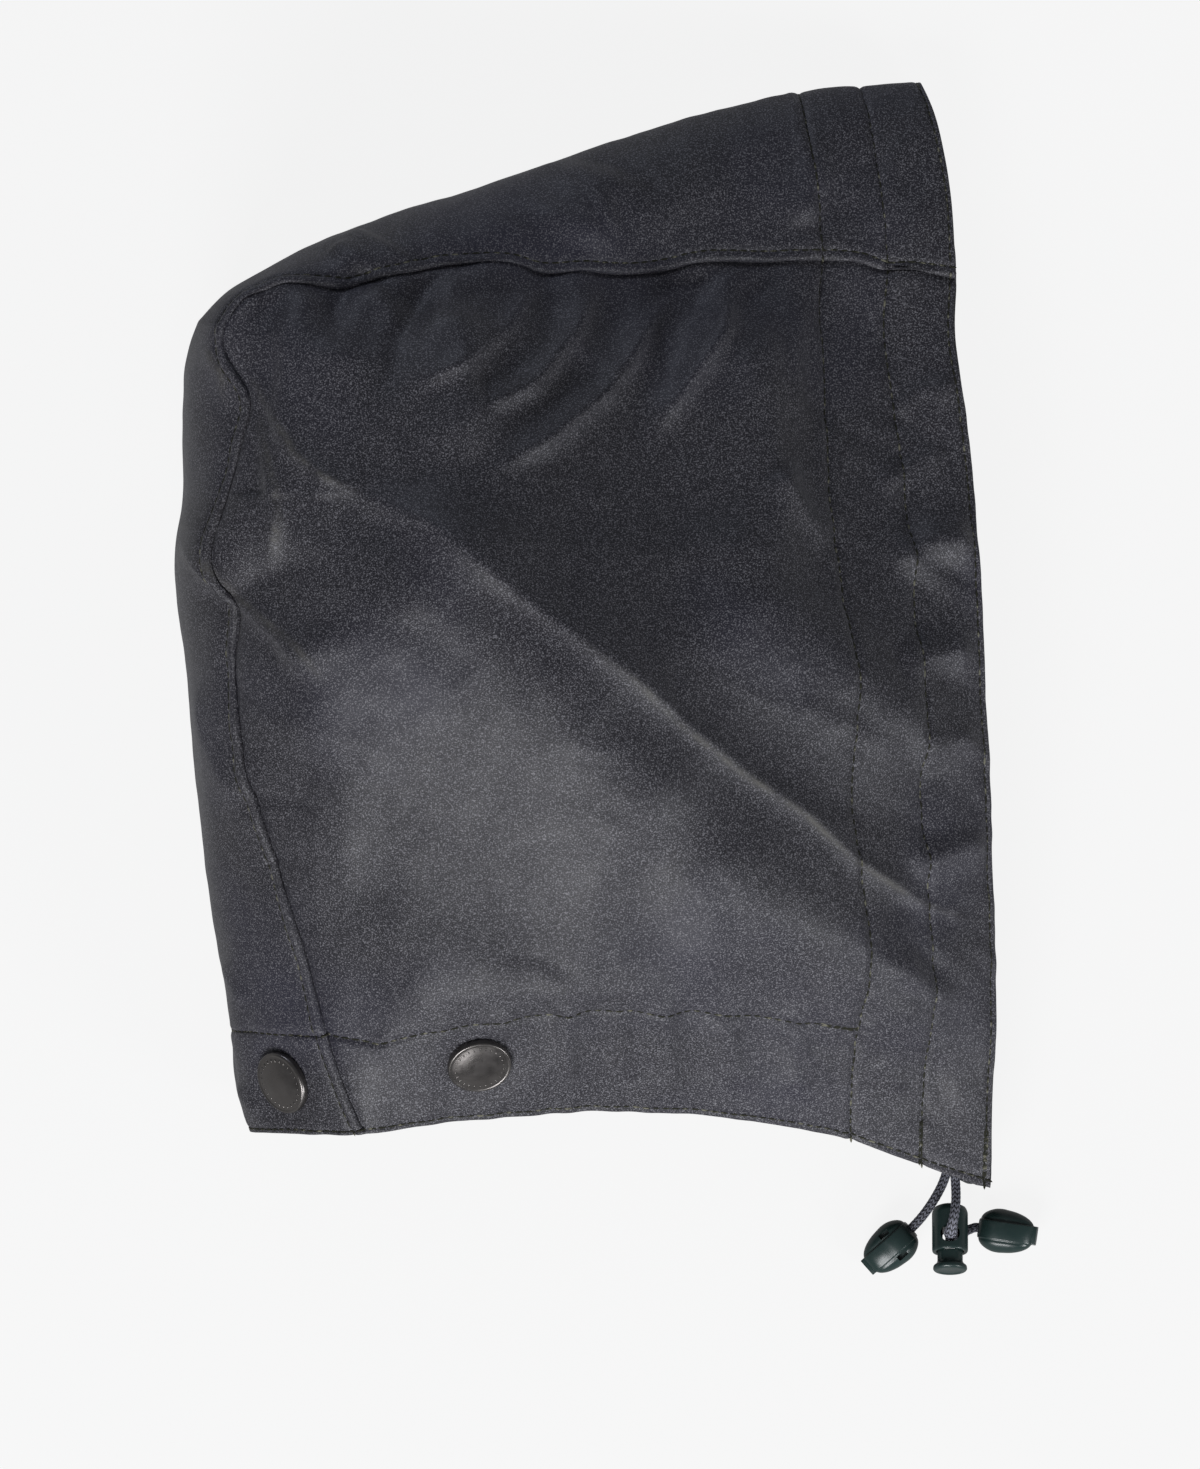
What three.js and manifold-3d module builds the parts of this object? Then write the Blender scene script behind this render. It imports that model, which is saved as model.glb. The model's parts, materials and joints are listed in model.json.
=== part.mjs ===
// A detachable jacket hood of waxed cotton: side panels, centre panel, facings, press studs and a drawcord.
// Millimetres, +Z up. The hood lies on its left side: +X is the face opening, +Y the crown, -Y the neck.
import * as THREE from "three";
import { mergeVertices } from "three/addons/utils/BufferGeometryUtils.js";
import Module from "manifold-3d";

const wasm = await Module();
wasm.setup();

// Cloth
const shellThick = 1.4;
const facingThick = 1.2;
const gap = 0.3;
const lap = 8; // how far a side panel runs on under the centre panel
const frontFacing = 40;
const channel = 20; // from the front edge to the stitch line that closes the cord channel
const neckFacing = 30;
const facingEnd = 41.5; // where the neck facing stops, clear of the front facing
const channelRoom = 3.4; // how far the facing stands off the panel over the cord

// Widths of a side panel in plan, from which the bands are measured
const widthAtSeam = 214;
const widthAtHem = 184;
const heightAtBack = 244;
const heightAtFront = 268;

// The upper side panel's four edges: x and y in plan, z the height of its outer face
const topSeam = [
  { x: -107.2, y: 89.9, z: 89 },
  { x: -102.9, y: 95.5, z: 88.5 },
  { x: -89.1, y: 103.1, z: 86 },
  { x: -72.6, y: 101.8, z: 81 },
  { x: -43.4, y: 108, z: 73 },
  { x: -14.1, y: 106.1, z: 64 },
  { x: 22.1, y: 107.4, z: 52 },
  { x: 55, y: 109.8, z: 41 },
  { x: 79.9, y: 109, z: 35 },
  { x: 107.6, y: 105.3, z: 32 },
];
const backSeam = [
  { x: -107.2, y: 89.9, z: 89 },
  { x: -106.2, y: 79.5, z: 89 },
  { x: -100.3, y: 68, z: 90 },
  { x: -101.4, y: 58.2, z: 89 },
  { x: -107.6, y: 33.5, z: 86 },
  { x: -108.9, y: 20.3, z: 84 },
  { x: -103, y: 9.3, z: 83 },
  { x: -104.1, y: -8, z: 80 },
  { x: -101.5, y: -38.4, z: 76 },
  { x: -92.1, y: -68.4, z: 71 },
  { x: -81.2, y: -105.2, z: 65 },
  { x: -66.2, y: -146.5, z: 56 },
];
const hem = [
  { x: -66.2, y: -146.5, z: 56 },
  { x: -46.8, y: -143.5, z: 54 },
  { x: -20.3, y: -140.6, z: 49.5 },
  { x: 15, y: -139.7, z: 44 },
  { x: 50.3, y: -142.6, z: 37 },
  { x: 76.8, y: -148.5, z: 29 },
  { x: 97.6, y: -155.6, z: 22 },
  { x: 117.6, y: -162.6, z: 19 },
];
const frontEdge = [
  { x: 107.6, y: 105.3, z: 32 },
  { x: 106.9, y: 87.5, z: 36 },
  { x: 109.7, y: 68.8, z: 40 },
  { x: 112.6, y: 45.3, z: 44 },
  { x: 115, y: 10, z: 46 },
  { x: 116.8, y: -25.3, z: 44 },
  { x: 118.8, y: -72.4, z: 37 },
  { x: 119.6, y: -100, z: 32 },
  { x: 118.2, y: -131.2, z: 25 },
  { x: 117.6, y: -162.6, z: 19 },
];

// Heights of the upper side panel in sections, seam to hem; columns are shares of the way from back to front
const sectionPlaces = [0.15, 0.35, 0.55, 0.75, 0.9];
const sections = [
  { down: 0.1, z15: 97, z35: 86, z55: 69, z75: 50, z90: 39 },
  { down: 0.25, z15: 104, z35: 101, z55: 84, z75: 62, z90: 49 },
  { down: 0.45, z15: 103, z35: 107, z55: 99, z75: 77, z90: 57 },
  { down: 0.65, z15: 93, z35: 98, z55: 93, z75: 77, z90: 55 },
  { down: 0.8, z15: 83, z35: 86, z55: 80, z75: 62, z90: 43 },
  { down: 0.9, z15: 72, z35: 70, z55: 61, z75: 45, z90: 31 },
];

// Folds of the upper side panel: a ridge (or valley, where rise is under 0) from one place to another
const folds = [
  { x1: -98, y1: 74, x2: -47, y2: 31, rise: 3, width: 15 },
  { x1: -47, y1: 31, x2: 13, y2: -14, rise: 4, width: 15 },
  { x1: 13, y1: -14, x2: 76, y2: -66, rise: 5, width: 15 },
  { x1: 30, y1: 8, x2: 88, y2: -42, rise: -3, width: 14 },
  { x1: 72, y1: -45, x2: 100, y2: 20, rise: -2, width: 12 },
  { x1: 30, y1: 100, x2: 16, y2: 72, rise: 2, width: 7 },
  { x1: 44, y1: 96, x2: 37, y2: 70, rise: 2, width: 7 },
  { x1: -100, y1: 5, x2: -80, y2: -10, rise: -3, width: 8 },
  { x1: -55, y1: -60, x2: -40, y2: -118, rise: 2, width: 12 },
  { x1: 30, y1: -85, x2: 36, y2: -130, rise: 2, width: 12 },
];

// Sections of the centre panel, face opening to crown and crown to neck: x and y of its outermost line in
// plan, and its heights on the way from the upper seam out to that line and back in to the lower seam
const overCrown = [
  { x: 96.5, y: 162.9, nearMid: 27, nearTurn: 20, fold: 11, farTurn: 3.4, farMid: 2.4 },
  { x: 76.8, y: 161.2, nearMid: 30, nearTurn: 22.5, fold: 12.5, farTurn: 4, farMid: 2.6 },
  { x: 50.3, y: 157.1, nearMid: 37, nearTurn: 29, fold: 17, farTurn: 6, farMid: 3 },
  { x: 15, y: 147.4, nearMid: 48, nearTurn: 38, fold: 24, farTurn: 9, farMid: 4 },
  { x: -37.9, y: 129.4, nearMid: 66, nearTurn: 54, fold: 36, farTurn: 16, farMid: 6 },
  { x: -82.1, y: 113.5, nearMid: 78, nearTurn: 66, fold: 44, farTurn: 21, farMid: 8 },
  { x: -105.5, y: 100, nearMid: 82, nearTurn: 68, fold: 46, farTurn: 23, farMid: 9 },
  { x: -114.6, y: 91.2, nearMid: 82, nearTurn: 68, fold: 46, farTurn: 23, farMid: 9 },
];
const downBack = [
  { x: -114.6, y: 91.2, nearMid: 82, nearTurn: 68, fold: 46, farTurn: 23, farMid: 9 },
  { x: -119.4, y: 66, nearMid: 82, nearTurn: 68, fold: 45, farTurn: 22, farMid: 9 },
  { x: -118.8, y: 40, nearMid: 79, nearTurn: 64, fold: 42, farTurn: 20, farMid: 8 },
  { x: -121.4, y: 21.8, nearMid: 77, nearTurn: 62, fold: 40, farTurn: 19, farMid: 7 },
  { x: -118.9, y: -10, nearMid: 72, nearTurn: 57, fold: 36, farTurn: 16, farMid: 6 },
  { x: -113.5, y: -60.6, nearMid: 62, nearTurn: 48, fold: 29, farTurn: 12, farMid: 6 },
  { x: -106.8, y: -107.6, nearMid: 54, nearTurn: 40, fold: 23, farTurn: 11, farMid: 7 },
  { x: -99.7, y: -145.9, nearMid: 45, nearTurn: 31, fold: 18, farTurn: 11, farMid: 8 },
];
const outShares = [0.45, 0.85, 1, 0.85, 0.45]; // how far out those five heights lie
const frontBow = 3.2; // how far the centre panel's front edge bows forward
const bowFade = 8; // how fast that bow dies away towards the crown
const foldLag = 0.88; // the outermost line is this much shorter than the seam near the face opening
const foldMargin = 0.08; // share of the upper side panel over which its folds die away at the edges

// The lower side panel lies on the table
const seamLift = 1.9;
const seamLiftShare = 0.06; // share of the panel over which that lift dies away
const hemLift = 4.5;
const hemRise = { from: 0.72, over: 0.14 }; // where its hem begins to rise, in shares of the way down
const chinLift = 2.1;
const chinFrom = 0.75; // where the hem's lift begins to change to the chin's, in shares of the way forward
const farBack = 2; // its front edge lies this far behind the upper one
const farShort = 6; // its hem lies higher than the upper one: at the back, and at the chin
const farShortAtChin = 22;

// Press studs, as radius and height above the cloth: the cap from its rim inwards, and the snap socket below
const stud = { post: 1.4, postOver: 0.8, hole: 1.8, sides: 16, holeSides: 8, drillLength: 14 };
const capProfile = [
  { r: 9.5, z: 0 },
  { r: 9.5, z: 0.6 },
  { r: 9.3, z: 1.2 },
  { r: 9.3, z: 2.4 },
  { r: 8.3, z: 3.3 },
  { r: 7.1, z: 2.8 },
  { r: 0, z: 2.5 },
];
const socketProfile = [
  { r: 1.8, z: 0 },
  { r: 1.8, z: -0.9 },
  { r: 3.1, z: -0.9 },
  { r: 3.1, z: -3.2 },
  { r: 5.6, z: -3.2 },
  { r: 6.2, z: -1 },
  { r: 6.9, z: -0.8 },
  { r: 6.9, z: 0 },
  { r: 1.8, z: 0 },
];

// Cord
const cordRadius = 1.35;
const cordSides = 8;

// Cord locks: z from the middle of the cord hole towards the plunger
const lockProfile = [
  { r: 0, z: -9.6 },
  { r: 3.1, z: -9.6 },
  { r: 4.7, z: -8.8 },
  { r: 5.3, z: -7.4 },
  { r: 5.3, z: 4.1 },
  { r: 4.8, z: 4.7 },
  { r: 4.05, z: 4.7 },
  { r: 4.05, z: -6.5 },
  { r: 0, z: -6.5 },
];
const plungerProfile = [
  { r: 0, z: -3.6 },
  { r: 3.75, z: -3.6 },
  { r: 3.75, z: 7.8 },
  { r: 4.7, z: 8.8 },
  { r: 5, z: 9.6 },
  { r: 4.6, z: 10.4 },
  { r: 0, z: 10.4 },
];
const cordHole = { radius: 2.8, sides: 12, through: 16 };
const plungerSlot = { wide: 3.9, long: 6, through: 12 };
const plungerTravel = 2.5;
const lockSides = 16;
const plungerSides = 14;

// Cord bells: an egg, with a belt raised along it, a tab at the tip, a bore for the cord and two slots
const bell = { length: 16.4, radius: 6.5, flat: 0.78, bands: 8, sides: 14, lean: 0.85, fullness: 0.62 };
const bellBelt = { wide: 6.4, rise: 0.55 };
const bellTab = { wide: 5.8, thick: 3.4, long: 4.4, past: 1.2 };
const bellBore = { radius: 1.75, deep: 4, sides: 10 };
const bellSlot = { wide: 1.6, deep: 3, long: 3.4, aside: 4.2, at: 7 };

// Free ends of the drawcord, from the channel mouth to the bell
const rightRoute = [
  { x: 107.7, y: -158.9, z: 17.2 },
  { x: 107.9, y: -162, z: 17.8 },
  { x: 108, y: -165.4, z: 19.4 },
  { x: 107.8, y: -168.9, z: 21.2 },
  { x: 107.2, y: -172.3, z: 21.9 },
  { x: 106.6, y: -175, z: 20.4 },
  { x: 106.3, y: -176.7, z: 17.2 },
  { x: 106.3, y: -177.6, z: 14 },
  { x: 106.3, y: -178.4, z: 11 },
  { x: 106.6, y: -178.9, z: 8 },
  { x: 107.6, y: -178.7, z: 5.2 },
  { x: 109.4, y: -177.4, z: 3.2 },
  { x: 111.6, y: -175.9, z: 3.3 },
  { x: 114, y: -175, z: 4.3 },
  { x: 117, y: -175.3, z: 5 },
];
const leftRoute = [
  { x: 106.2, y: -140.4, z: 5.6 },
  { x: 107.2, y: -143, z: 5.5 },
  { x: 108.6, y: -145.6, z: 5.4 },
  { x: 109.2, y: -148.6, z: 5.4 },
  { x: 108.4, y: -151.6, z: 5.4 },
  { x: 107.2, y: -154.1, z: 5.4 },
  { x: 106, y: -156.6, z: 5.4 },
  { x: 105.2, y: -159.4, z: 5.6 },
  { x: 104.1, y: -162.3, z: 6 },
  { x: 102.5, y: -165.4, z: 6.3 },
  { x: 100.3, y: -168.9, z: 6.5 },
  { x: 97.8, y: -172.2, z: 6.6 },
  { x: 95.2, y: -175, z: 6.5 },
  { x: 93.2, y: -176.8, z: 6.4 },
];

// Where the locks and bells lie: the middle of a lock's cord hole and the way its plunger points, with its up
const places = {
  lockRight: { at: [106.3, -177.6, 14], along: [0, -0.956, 0.292], up: [0, 0.292, 0.956] },
  lockLeft: { at: [107.2, -154.1, 5.4], along: [-0.9, 0.436, 0], up: [0.436, 0.9, 0] },
  bellRight: { at: [114.9, -175, 4.7], along: [0.978, -0.145, 0.145], up: [-0.143, 0.021, 0.989] },
  bellLeft: { at: [94.9, -175.4, 6.7], along: [-0.74, -0.655, -0.15], up: [0.112, 0.1, -0.989] },
};

const vector = ({ x, y, z }) => new THREE.Vector3(x, y, z ?? 0);
const curveOf = (rows) => new THREE.CatmullRomCurve3(rows.map(vector));
const clamp01 = (x) => Math.min(1, Math.max(0, x));
const ease = (x) => clamp01(x) ** 2 * (3 - 2 * clamp01(x));

// A smooth line through values at rising places
function smoothAt(places, values, at) {
  let k = 0;
  while (k < places.length - 2 && at > places[k + 1]) k++;
  const slope = (i) => {
    const lower = Math.max(0, i - 1);
    const upper = Math.min(places.length - 1, i + 1);
    return (values[upper] - values[lower]) / (places[upper] - places[lower]);
  };
  const span = places[k + 1] - places[k];
  const t = (at - places[k]) / span;
  const start = values[k] * (1 + 2 * t) * (1 - t) ** 2 + slope(k) * span * t * (1 - t) ** 2;
  const end = values[k + 1] * (3 - 2 * t) * t * t - slope(k + 1) * span * (1 - t) * t * t;
  return start + end;
}

// Upper side panel: u runs from the back to the front, v from the seam to the hem
const edges = {
  top: curveOf(topSeam),
  back: curveOf(backSeam),
  hem: curveOf(hem),
  front: curveOf(frontEdge),
};

function blendEdges(u, v) {
  const point = edges.top.getPointAt(u).multiplyScalar(1 - v);
  point.addScaledVector(edges.hem.getPointAt(u), v);
  point.addScaledVector(edges.back.getPointAt(v), 1 - u);
  point.addScaledVector(edges.front.getPointAt(v), u);
  point.addScaledVector(edges.top.getPointAt(0), -(1 - u) * (1 - v));
  point.addScaledVector(edges.top.getPointAt(1), -u * (1 - v));
  point.addScaledVector(edges.hem.getPointAt(0), -(1 - u) * v);
  return point.addScaledVector(edges.hem.getPointAt(1), -u * v);
}

// How far each section stands above the plain blend of the four edges
const acrossPlaces = [0, ...sectionPlaces, 1];
const downPlaces = [0, ...sections.map((row) => row.down), 1];
const swell = sections.map((row) => {
  const heights = [row.z15, row.z35, row.z55, row.z75, row.z90];
  return [0, ...heights.map((z, i) => z - blendEdges(sectionPlaces[i], row.down).z), 0];
});

function distanceToFold(fold, x, y) {
  const along = { x: fold.x2 - fold.x1, y: fold.y2 - fold.y1 };
  const length2 = along.x ** 2 + along.y ** 2;
  const t = clamp01(((x - fold.x1) * along.x + (y - fold.y1) * along.y) / length2);
  return Math.hypot(x - fold.x1 - t * along.x, y - fold.y1 - t * along.y);
}

function upperSide(u, v) {
  const point = blendEdges(u, v);
  const rows = swell.map((row) => smoothAt(acrossPlaces, row, u));
  point.z += smoothAt(downPlaces, [0, ...rows, 0], v);
  const inside = ease(Math.min(u, 1 - u, v, 1 - v) / foldMargin);
  for (const fold of folds)
    point.z += inside * fold.rise * Math.exp(-((distanceToFold(fold, point.x, point.y) / fold.width) ** 2));
  return point;
}

// Lower side panel: the same cut, flat on the table, a little lifted along its seam and hem
function lowerSide(u, v) {
  const point = blendEdges(u, v);
  point.x -= farBack * u;
  point.y += (farShort + (farShortAtChin - farShort) * u ** 3) * v;
  const seam = seamLift * (1 - clamp01(Math.min(u, v) / seamLiftShare)) ** 2;
  const level = hemLift + (chinLift - hemLift) * ease((u - chinFrom) / (1 - chinFrom));
  point.z = seam + level * ease((v - hemRise.from) / hemRise.over);
  return point;
}

// Centre panel's cross-section, a line from the upper seam out round the fold and back to the lower seam
const spineTop = curveOf(overCrown);
const spineBack = curveOf(downBack);
const heightNames = ["nearMid", "nearTurn", "fold", "farTurn", "farMid"];

function tableAt(table, share, name) {
  const places = [0];
  for (let i = 1; i < table.length; i++)
    places.push(places[i - 1] + Math.hypot(table[i].x - table[i - 1].x, table[i].y - table[i - 1].y));
  return smoothAt(places, table.map((row) => row[name]), share * places[places.length - 1]);
}

function crossSection(onTop, share, upper, lower) {
  const table = onTop ? overCrown : downBack;
  const out = (onTop ? spineTop : spineBack).getPointAt(share);
  const inward = upper.clone().sub(out).setZ(0).normalize();
  out.addScaledVector(inward, shellThick + gap);
  const bow = onTop ? frontBow * Math.exp(-share * bowFade) : 0;
  const points = heightNames.map((name, i) => {
    const seam = i < 2 ? upper : lower;
    const point = seam.clone().lerp(out, outShares[i]);
    point.x += (bow * (1 - outShares[i])) / (1 - outShares[0]);
    point.z = tableAt(table, share, name);
    return point;
  });
  return new THREE.CatmullRomCurve3([upper, ...points, lower]);
}

// The skin: one net of points over all three panels, from which every cloth piece is taken at its own depth.
// Columns run from the back to the front, rows from the seam to the hem.
const backColumns = [0, 0.075, 0.151, 0.26, 0.33, 0.4, 0.48, 0.56, 0.64, 0.71];
const frontBands = [facingEnd, frontFacing, channel, 16, 12, 8, 4, 0];
const rowShares = [0, 0.07, 0.15, 0.23, 0.31, 0.39, 0.47, 0.55, 0.63, 0.71, 0.79];
const hemBands = [neckFacing, 26.2, 6.6, 0];
const columns = backColumns.length + frontBands.length - 1;
const rows = rowShares.length + hemBands.length - 1;
const facingBands = frontBands.length - 1 - frontBands.indexOf(frontFacing);
const facingColumn = columns - facingBands;
const neckRow = rows - (hemBands.length - 1);
const acrossInner = [0.135, 0.36, 0.43, 0.5, 0.57, 0.64, 0.865];
const lapQuads = 2; // quads across a lap
const across = acrossInner.length + 1 + 2 * lapQuads;

// The quads that carry the press studs, next to the hem
const studColumn = 2;
const studRow = rows - 2;
const studAcross = 3;
const studStation = columns + rows - 2;

function shareOfColumn(i, v) {
  if (i < backColumns.length) return backColumns[i];
  const width = widthAtSeam + (widthAtHem - widthAtSeam) * v;
  return 1 - frontBands[i - backColumns.length] / width;
}
function shareOfRow(j, u) {
  if (j < rowShares.length) return rowShares[j];
  const height = heightAtBack + (heightAtFront - heightAtBack) * u;
  return 1 - hemBands[j - rowShares.length] / height;
}

const skin = { points: [], quads: [] };
const addPoint = (point) => skin.points.push(point) - 1;
const grid = (make) =>
  Array.from({ length: columns + 1 }, (_, i) => Array.from({ length: rows + 1 }, (_, j) => make(i, j)));

function sideNet(surface) {
  return grid((i, j) => {
    const u = shareOfColumn(i, shareOfRow(j, 0.5));
    return addPoint(surface(u, shareOfRow(j, shareOfColumn(i, 0.5))));
  });
}
const upperNet = sideNet(upperSide);
const lowerNet = sideNet(lowerSide);

// Stations along the seam: front edge to crown, then crown to neck
const stations = columns + rows;
const seamPoint = (net, m) => (m <= columns ? net[columns - m][0] : net[0][m - columns]);

const centreNet = Array.from({ length: stations + 1 }, (_, m) => {
  const upper = seamPoint(upperNet, m);
  const lower = seamPoint(lowerNet, m);
  const onTop = m <= columns;
  const seamShare = onTop ? 1 - shareOfColumn(columns - m, 0) : shareOfRow(m - columns, 0);
  const share = onTop ? seamShare * (foldLag + (1 - foldLag) * seamShare) : seamShare;
  const section = crossSection(onTop, share, skin.points[upper], skin.points[lower]);
  const width = section.getLength();
  const inner = [lap / 2 / width, lap / width, ...acrossInner, 1 - lap / width, 1 - lap / 2 / width];
  return [upper, ...inner.map((t) => addPoint(section.getPointAt(t))), lower];
});

for (let i = 0; i < columns; i++)
  for (let j = 0; j < rows; j++) {
    const up = [upperNet[i][j], upperNet[i][j + 1], upperNet[i + 1][j + 1], upperNet[i + 1][j]];
    const down = [lowerNet[i][j], lowerNet[i + 1][j], lowerNet[i + 1][j + 1], lowerNet[i][j + 1]];
    skin.quads.push({ part: "upper", i, j, corners: up }, { part: "lower", i, j, corners: down });
  }
for (let m = 0; m < stations; m++)
  for (let k = 0; k < across; k++) {
    const corners = [centreNet[m][k], centreNet[m][k + 1], centreNet[m + 1][k + 1], centreNet[m + 1][k]];
    skin.quads.push({ part: "centre", m, k, corners });
  }

// The cloth is clamped flat under each stud: the quad there is made plane
const sideQuad = (part) => skin.quads.find((q) => q.part === part && q.i === studColumn && q.j === studRow);
const centreQuad = (k) => skin.quads.find((q) => q.m === studStation && q.k === k);
const studQuads = {
  side_right: { quad: sideQuad("upper"), top: 0 },
  side_left: { quad: sideQuad("lower"), top: 0 },
  centre_right: { quad: centreQuad(studAcross), top: shellThick + gap },
  centre_left: { quad: centreQuad(across - 1 - studAcross), top: shellThick + gap },
};
for (const { quad } of Object.values(studQuads)) {
  const [a, b, c, d] = quad.corners.map((n) => skin.points[n]);
  const twist = a.clone().add(c).sub(b).sub(d).multiplyScalar(0.25);
  a.sub(twist);
  c.sub(twist);
  b.add(twist);
  d.add(twist);
}

const quadNormal = (corners) => {
  const [a, b, c, d] = corners.map((n) => skin.points[n]);
  return c.clone().sub(a).cross(d.clone().sub(b));
};
skin.normals = skin.points.map(() => new THREE.Vector3());
for (const { corners } of skin.quads) for (const n of corners) skin.normals[n].add(quadNormal(corners));
for (const normal of skin.normals) normal.normalize();

// How deep the facings lie under the skin: less where no lap is between, more over the cord
const pastLap = new Set(centreNet.flatMap((row) => row.slice(lapQuads + 1, across - lapQuads)));
const bulge = new Map();
const bulgeShares = [0, 0.55, 1, 1, 0.55, 0]; // of channelRoom, from the front edge inwards
bulgeShares.forEach((share, n) => {
  for (let j = 0; j <= rows; j++)
    for (const net of [upperNet, lowerNet]) bulge.set(net[columns - n][j], share * channelRoom);
  for (const point of centreNet[n]) bulge.set(point, share * channelRoom);
});
const facingTop = (n) => (pastLap.has(n) ? 0 : -(shellThick + gap)) - (bulge.get(n) ?? 0);

// A cloth wall over some quads of the skin, between two depths measured along its normals
function clothOver(quads, topOf, thick) {
  const positions = [];
  const faces = [];
  const local = new Map();
  const indexOf = (n) => {
    if (!local.has(n)) {
      local.set(n, positions.length / 3);
      for (const depth of [topOf(n), topOf(n) - thick])
        positions.push(...skin.points[n].clone().addScaledVector(skin.normals[n], depth).toArray());
    }
    return local.get(n);
  };
  const edgesOf = ({ corners }) => corners.map((n, s) => n + ">" + corners[(s + 1) % 4]);
  const edgesUsed = new Set(quads.flatMap(edgesOf));
  for (const { corners } of quads) {
    const [a, b, c, d] = corners.map(indexOf);
    faces.push(a, b, c, a, c, d);
    faces.push(a + 1, c + 1, b + 1, a + 1, d + 1, c + 1);
    corners.forEach((n, s) => {
      const next = corners[(s + 1) % 4];
      if (edgesUsed.has(next + ">" + n)) return;
      const [p, q] = [indexOf(n), indexOf(next)];
      faces.push(q, p, p + 1, q, p + 1, q + 1);
    });
  }
  const geometry = new THREE.BufferGeometry();
  geometry.setAttribute("position", new THREE.Float32BufferAttribute(positions, 3));
  geometry.setIndex(faces);
  return geometry;
}

// Solids for joining and cutting
function solidOf(geometry) {
  const bare = geometry.clone();
  bare.deleteAttribute("normal");
  bare.deleteAttribute("uv");
  const merged = mergeVertices(bare, 1e-4);
  const triVerts = Uint32Array.from(merged.index.array);
  const vertProperties = merged.attributes.position.array;
  return new wasm.Manifold(new wasm.Mesh({ numProp: 3, vertProperties, triVerts }));
}
function geometryOf(solid) {
  const mesh = solid.getMesh();
  const geometry = new THREE.BufferGeometry();
  geometry.setAttribute("position", new THREE.BufferAttribute(mesh.vertProperties, 3));
  geometry.setIndex(new THREE.BufferAttribute(mesh.triVerts, 1));
  return geometry;
}

// The matrix that puts a piece's own z along one direction at a place
function placeAt(at, along, up) {
  const z = along.clone().normalize();
  const side = up ?? (Math.abs(z.z) < 0.9 ? new THREE.Vector3(0, 0, 1) : new THREE.Vector3(0, 1, 0));
  const x = side.clone().cross(z).normalize();
  const y = z.clone().cross(x);
  return new THREE.Matrix4().makeBasis(x, y, z).setPosition(at);
}

const studPlaces = Object.entries(studQuads).map(([name, { quad, top }]) => {
  const centre = new THREE.Vector3();
  for (const n of quad.corners) centre.addScaledVector(skin.points[n], 0.25);
  const normal = quadNormal(quad.corners).normalize();
  const facingDepth = Math.max(...quad.corners.map((n) => facingThick - facingTop(n)));
  const outer = centre.clone().addScaledVector(normal, top + gap);
  return { name, normal, centre, outer, stack: top + facingDepth };
});

// Holes for the rivet posts
function pierced(geometry) {
  let solid = solidOf(geometry);
  for (const { centre, normal } of studPlaces) {
    const drill = new THREE.CylinderGeometry(stud.hole, stud.hole, stud.drillLength, stud.holeSides);
    drill.rotateX(Math.PI / 2).applyMatrix4(placeAt(centre, normal));
    solid = solid.subtract(solidOf(drill));
  }
  return geometryOf(solid);
}

// Press stud: cap with its post, and the snap socket on the inside
function lathe(profile, sides) {
  const points = profile.map(({ r, z }) => new THREE.Vector2(r, z));
  return new THREE.LatheGeometry(points, sides).rotateX(Math.PI / 2);
}
function studCap(stack) {
  const end = -(stack + 2 * gap + stud.postOver);
  const post = [
    { r: 0, z: end },
    { r: stud.post, z: end },
    { r: stud.post, z: 0 },
  ];
  return lathe([...post, ...capProfile], stud.sides);
}

// A cord tube through hand-chosen points, with one step from each point to the next
class Route extends THREE.CatmullRomCurve3 {
  getUtoTmapping(u) {
    return u;
  }
}
function tube(points) {
  const ring = Array.from({ length: cordSides }, (_, n) => {
    const turn = (2 * Math.PI * n) / cordSides;
    return new THREE.Vector2(cordRadius * Math.cos(turn), cordRadius * Math.sin(turn));
  });
  const options = { steps: points.length - 1, extrudePath: new Route(points), bevelEnabled: false };
  return new THREE.ExtrudeGeometry(new THREE.Shape(ring), options);
}

// The cord inside the channel, midway between the third and fourth lines in from the front edge
function channelPoint(a, b) {
  const middle = skin.points[a].clone().lerp(skin.points[b], 0.5);
  const normal = skin.normals[a].clone().add(skin.normals[b]).normalize();
  const top = pastLap.has(a) ? gap : -shellThick;
  return middle.addScaledVector(normal, (top + facingTop(a)) / 2);
}
function channelRun() {
  const [outer, inner] = [columns - 2, columns - 3];
  const sideRun = (net) => net[outer].map((n, j) => channelPoint(n, net[inner][j]));
  const middle = centreNet[2].map((n, k) => channelPoint(n, centreNet[3][k]));
  return [...sideRun(upperNet).reverse(), ...middle.slice(1, -1), ...sideRun(lowerNet)];
}

// Cord lock: a barrel with a cross hole, and the sprung plunger in its bore with a slot for the cord
function lockBarrel() {
  const hole = new THREE.CylinderGeometry(cordHole.radius, cordHole.radius, cordHole.through, cordHole.sides);
  return geometryOf(solidOf(lathe(lockProfile, lockSides)).subtract(solidOf(hole)));
}
function plungerPin() {
  const slot = new THREE.BoxGeometry(plungerSlot.wide, plungerSlot.through, plungerSlot.long);
  slot.translate(0, 0, plungerTravel / 2);
  return geometryOf(solidOf(lathe(plungerProfile, plungerSides)).subtract(solidOf(slot)));
}

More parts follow.
